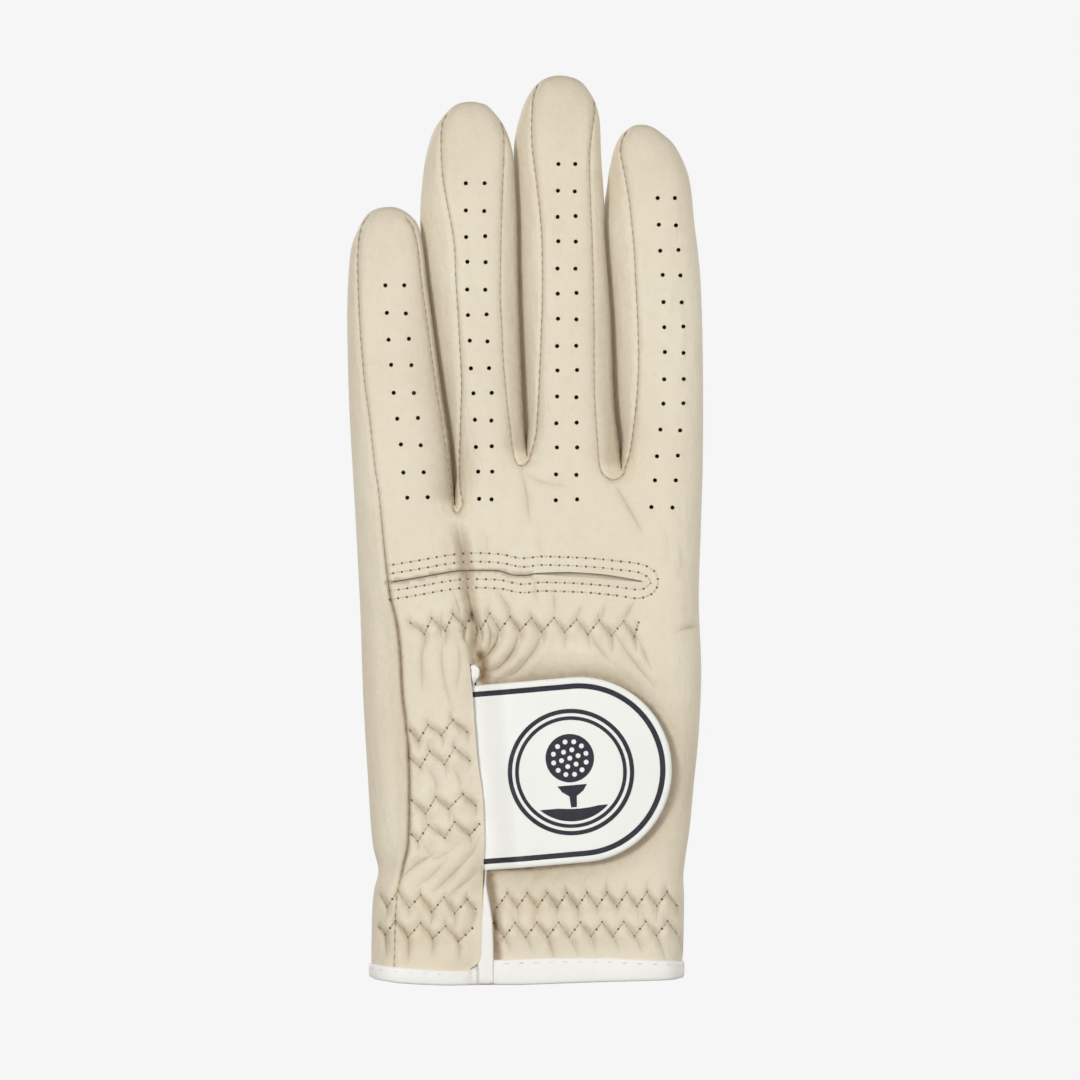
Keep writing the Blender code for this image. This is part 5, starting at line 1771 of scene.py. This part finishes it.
def leather_shade(x, z, front):
    """How dark the leather is painted: dark lines along its seams, and painted shade in its creases,
    its fold and the shut part of its vent, beside the side seam, between the fingers, towards the
    fingertips and where other pieces lie on it.
    """
    shade = np.zeros(len(x))
    # Dark lines along the seams; the side seam's line is wider and darker, with a wider painted shade
    # beside it, widest on its left.
    for key, path in SEAMS.items():
        d, side, _ = nearest(x, z, path, 7.0)
        if key == "side":
            amount = np.interp(z, [22, 28, 96, 120], [0.35, 1.0, 1.0, 0.5])
            amount *= bump(d, np.interp(z, [22, 30, 92, 104], [0.2, 0.34, 0.34, 0.22]))
            wide = 0.15 * np.interp(z, [22, 34, 90, 100], [0, 1, 1, 0.2])
            wide = wide * np.where(side < 0, bump(d, 2.6), bump(d, 1.0))
            amount = np.maximum(amount, wide) * front
        else:
            amount = 0.5 * bump(d, 0.2)
        shade = np.maximum(shade, amount)
    back = np.nonzero(front)[0]
    bx = x[back]
    bz = z[back]
    # Painted shade in the creases of the back, then painted shadows at the top of the slit, beside the
    # placket tape, under the tab's corner and beside the rounded top of the placket tape, and a
    # painted dark line along the shut part of the vent.
    tone = crease_shade(bx, bz, BACK_CREASES)
    for path, reach, amount in ((slit_shadow, 1.6, 0.75), (panel_shadow, 1.0, 0.75),
                                (corner_shadow, 1.3, 0.85), (nub_shadow, 1.4, 1.0),
                                (vent[vent[:, 0] < 2.0], 0.25, 0.8)):
        d = distance(bx, bz, path, 6.0)
        tone = np.maximum(tone, amount * bump(d, reach))
    # Painted shadow round the tab's edge, darkest just outside it, and a wider faint painted shade
    # round it.
    d = distance(bx, bz, tab_rim, 6.0)
    tone = np.maximum(tone, 0.52 * bump(d - 0.5, 1.2))
    tone = np.maximum(tone, 0.26 * bump(d, 5.0))
    # Painted shade: the leather darker towards the fingertips.
    number = sum((beyond(bx, bz, line) > 0).astype(int) for line in GAPS)
    above = bz - np.array(FINGER_TOPS)[number] + 24.0
    tone = np.maximum(tone, 0.09 * np.clip(above / 14.0, 0, 1))
    # Painted shade in the fold below the little finger, and a faint, wider one beside it on one side.
    d, side, along = nearest(bx, bz, fold, 9.0)
    ends = np.clip(along * 5, 0, 1)
    narrow = np.interp(bz, [88, 92, 100, 108], [0.5, 0.95, 0.8, 0.3]) * bump(d, 0.33)
    tone = np.maximum(tone, ends * np.maximum(narrow, 0.5 * bump(d, 1.5)))
    tone = np.maximum(tone, 0.09 * ends * (side > 0) * bump(d, 5.0))
    # Painted shadow between neighbouring fingers: a dark line in each gap and painted shade on the
    # flanks beside it, fading towards the top of where the fingers touch.
    for k, (line, top) in enumerate(zip(GAPS, CONTACT_TOPS)):
        d = beyond(bx, bz, line)
        foot = line[1, 1]
        fade = np.clip((bz - foot) / 2.0, 0, 1) * np.interp(bz, [foot + 8, top], [1.0, 0.4])
        flank = 0.7 * bump(d, 0.6) + np.where(d > 0, 0.3 * bump(d, 1.6), 0.34 * bump(d, 5.6))
        if k == 0:
            flank += np.where(d < 0, 0.1 * bump(d, 3.0), 0.0) * np.clip((158.0 - bz) / 20.0, 0, 1)
        tone = np.maximum(tone, fade * flank * (bz < top + 6.0))
    shade[back] = np.maximum(shade[back], tone)
    d = distance(x, z, thumb_seam, 5.0)
    return np.maximum(shade, ~front * 0.6 * bump(d, 0.3))


def make_leather():
    """Splits the skin into the leather pieces and puts those that are not on a finger on the hand's
    body.
    """
    flat, points, tris, names, front = build_skin()
    normals = vertex_normals(points, tris)
    names = np.array(names)
    shade = leather_shade(flat[:, 0], flat[:, 2], front)
    for name in sorted(set(names)):
        palm_like = name.endswith("_palm") or name == "palm_panel"
        slot = "palm_leather" if palm_like else "cream_leather"
        piece = leather_piece(name + "_skin", points, normals, tris[names == name],
                              MATERIALS[slot], shade)
        finger = body_of_piece(name)
        if finger:
            finger_blend(piece, finger)
        dress(piece, None if finger else "hand", (name,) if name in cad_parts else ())


def make_seam_threads():
    """Stitches at the bottom of each seam's groove, grouped by the body that they lie on; those of the
    hand are put on its body.
    """
    groups = {}
    for key, path in SEAMS.items():
        for mark in stitch_marks(path, *SEAM_STITCH):
            x = (mark[0][0] + mark[1][0]) / 2
            z = (mark[0][1] + mark[1][1]) / 2
            finger = FINGER_NAMES[sum(beyond(x, z, line) > 0 for line in GAPS)]
            owner = finger if z > BASE[finger] else "hand"
            groups.setdefault((owner, -1), []).append(mark)
            if key != "side":
                groups.setdefault((owner, 1), []).append(mark)
    for (owner, side), marks in groups.items():
        face = "back" if side < 0 else "palm"
        piece = thread_mesh(f"{owner}_seam_stitches_{face}", marks, 0.12, side,
                            MATERIALS["seam_thread"], lift=0.9)
        if owner != "hand":
            finger_blend(piece, owner)
        dress(piece, "hand" if owner == "hand" else None)


def zigzag_marks(rows):
    """Two stitches on each leg of each zigzag, and needle holes at its corners and in the
    middle of its rising legs."""
    marks = []
    holes = []
    for corners in rows:
        for (xa, za), (xb, zb) in zip(corners, corners[1:]):
            for k in range(2):
                t0 = k / 2 + 0.09
                t1 = (k + 1) / 2 - 0.09
                marks.append([[xa + (xb - xa) * t0, za + (zb - za) * t0],
                              [xa + (xb - xa) * t1, za + (zb - za) * t1]])
            holes.append((xa, za))
            if zb > za:
                holes.append(((xa + xb) / 2, (za + zb) / 2))
        holes.append(corners[-1])
    return marks, holes


def make_surface_threads():
    """Zigzag stitches over the elastics and the double rows round the vent."""
    for rows, side, label in ((BACK_ZIGZAGS, -1, "back"), (PALM_ZIGZAGS, 1, "palm")):
        marks, holes = zigzag_marks(rows)
        thread = thread_mesh(f"zigzag_stitches_{label}", marks, 0.17, side, MATERIALS["thread"])
        pits = needle_holes(f"zigzag_needle_holes_{label}", holes, 0.34, side)
        for piece in (thread, pits):
            dress(piece, "hand")
    marks = []
    holes = []
    for row in VENT_ROWS:
        marks += stitch_marks(row, *VENT_STITCH)
        holes += [mark[0] for mark in stitch_marks(row, VENT_STITCH[0], 0.2, 1.75)]
    thread = thread_mesh("vent_stitches", marks, 0.22, -1, MATERIALS["light_thread"])
    pits = needle_holes("vent_needle_holes", holes, 0.3, -1)
    for piece in (thread, pits):
        dress(piece, "hand")


# ------------------------------------------------------------------ studio


# Name, place and size in metres, and power in watts
LIGHTS = [
    ("key", (-0.92, -1.64, 0.34), 0.44, 16.7),
    ("fill", (0.88, -1.1, 0.06), 0.5, 8.8),
    ("behind_left", (-0.5, 0.65, 0.45), 0.4, 1.8),
    ("behind_right", (0.6, 0.5, 0.3), 0.6, 1.2),
]


def area_light(name, place, target, size, power):
    """Round light turned towards a target."""
    data = bpy.data.lights.new(name, "AREA")
    data.shape = "DISK"
    data.size = size
    data.energy = power
    made = bpy.data.objects.new(name, data)
    made.location = place
    made.rotation_euler = (Vector(target) - Vector(place)).to_track_quat("-Z", "Y").to_euler()
    bpy.context.scene.collection.objects.link(made)


def show_camera(tree, other, shown, output):
    """Joins two shaders: the camera sees one and all other light the other."""
    path = tree.nodes.new("ShaderNodeLightPath")
    choose = tree.nodes.new("ShaderNodeMixShader")
    tree.links.new(path.outputs["Is Camera Ray"], choose.inputs["Fac"])
    tree.links.new(other.outputs[0], choose.inputs[1])
    tree.links.new(shown.outputs[0], choose.inputs[2])
    tree.links.new(choose.outputs["Shader"], tree.nodes[output].inputs["Surface"])


def make_studio():
    """Pale even background, one soft key from the upper left, weak fill, light behind."""
    backdrop = srgb(246, 246, 246)
    world = bpy.data.worlds.new("studio")
    bpy.context.scene.world = world
    world.use_nodes = True
    tree = world.node_tree
    sky = tree.nodes["Background"]
    sky.inputs["Color"].default_value = (1.0, 1.0, 1.0, 1.0)
    sky.inputs["Strength"].default_value = 0.47
    plain = tree.nodes.new("ShaderNodeBackground")
    plain.inputs["Color"].default_value = (*backdrop, 1.0)
    show_camera(tree, sky, plain, "World Output")

    floor_mesh = bpy.data.meshes.new("floor")
    reach = 6.0
    floor_mesh.from_pydata([(-reach, -reach, 0), (reach, -reach, 0), (reach, reach, 0),
                            (-reach, reach, 0)], [], [(0, 1, 2, 3)])
    floor = bpy.data.objects.new("floor", floor_mesh)
    floor.location = (0.0, 0.0, cad_box[0][2] - 0.0006)
    bpy.context.scene.collection.objects.link(floor)
    paint = bpy.data.materials.new("floor")
    paint.use_nodes = True
    nodes = paint.node_tree.nodes
    nodes.remove(nodes["Principled BSDF"])
    glow = nodes.new("ShaderNodeEmission")
    glow.inputs["Color"].default_value = (*backdrop, 1.0)
    matt = nodes.new("ShaderNodeBsdfDiffuse")
    matt.inputs["Color"].default_value = (0.55, 0.55, 0.55, 1.0)
    show_camera(paint.node_tree, matt, glow, "Material Output")
    floor_mesh.materials.append(paint)

    for name, place, size, power in LIGHTS:
        area_light(name, place, (0.0, 0.0, 0.11), size, power)


def make_camera():
    """Square on to the back of the hand, as a long lens sees it."""
    data = bpy.data.cameras.new("camera")
    data.lens = 400.0
    data.sensor_width = 36.0
    made = bpy.data.objects.new("camera", data)
    made.location = (0.0034, -2.932, 0.1086)
    made.rotation_euler = (math.radians(90.0), 0.0, 0.0)
    bpy.context.scene.collection.objects.link(made)
    bpy.context.scene.camera = made
    bpy.context.scene.view_settings.view_transform = "Standard"


make_camera()
make_leather()
make_seam_threads()
make_surface_threads()
make_tab()
make_cuff_binding()
make_placket_binding()
make_inner_pieces()
make_thumb()
make_thumb_stitches()
make_studio()
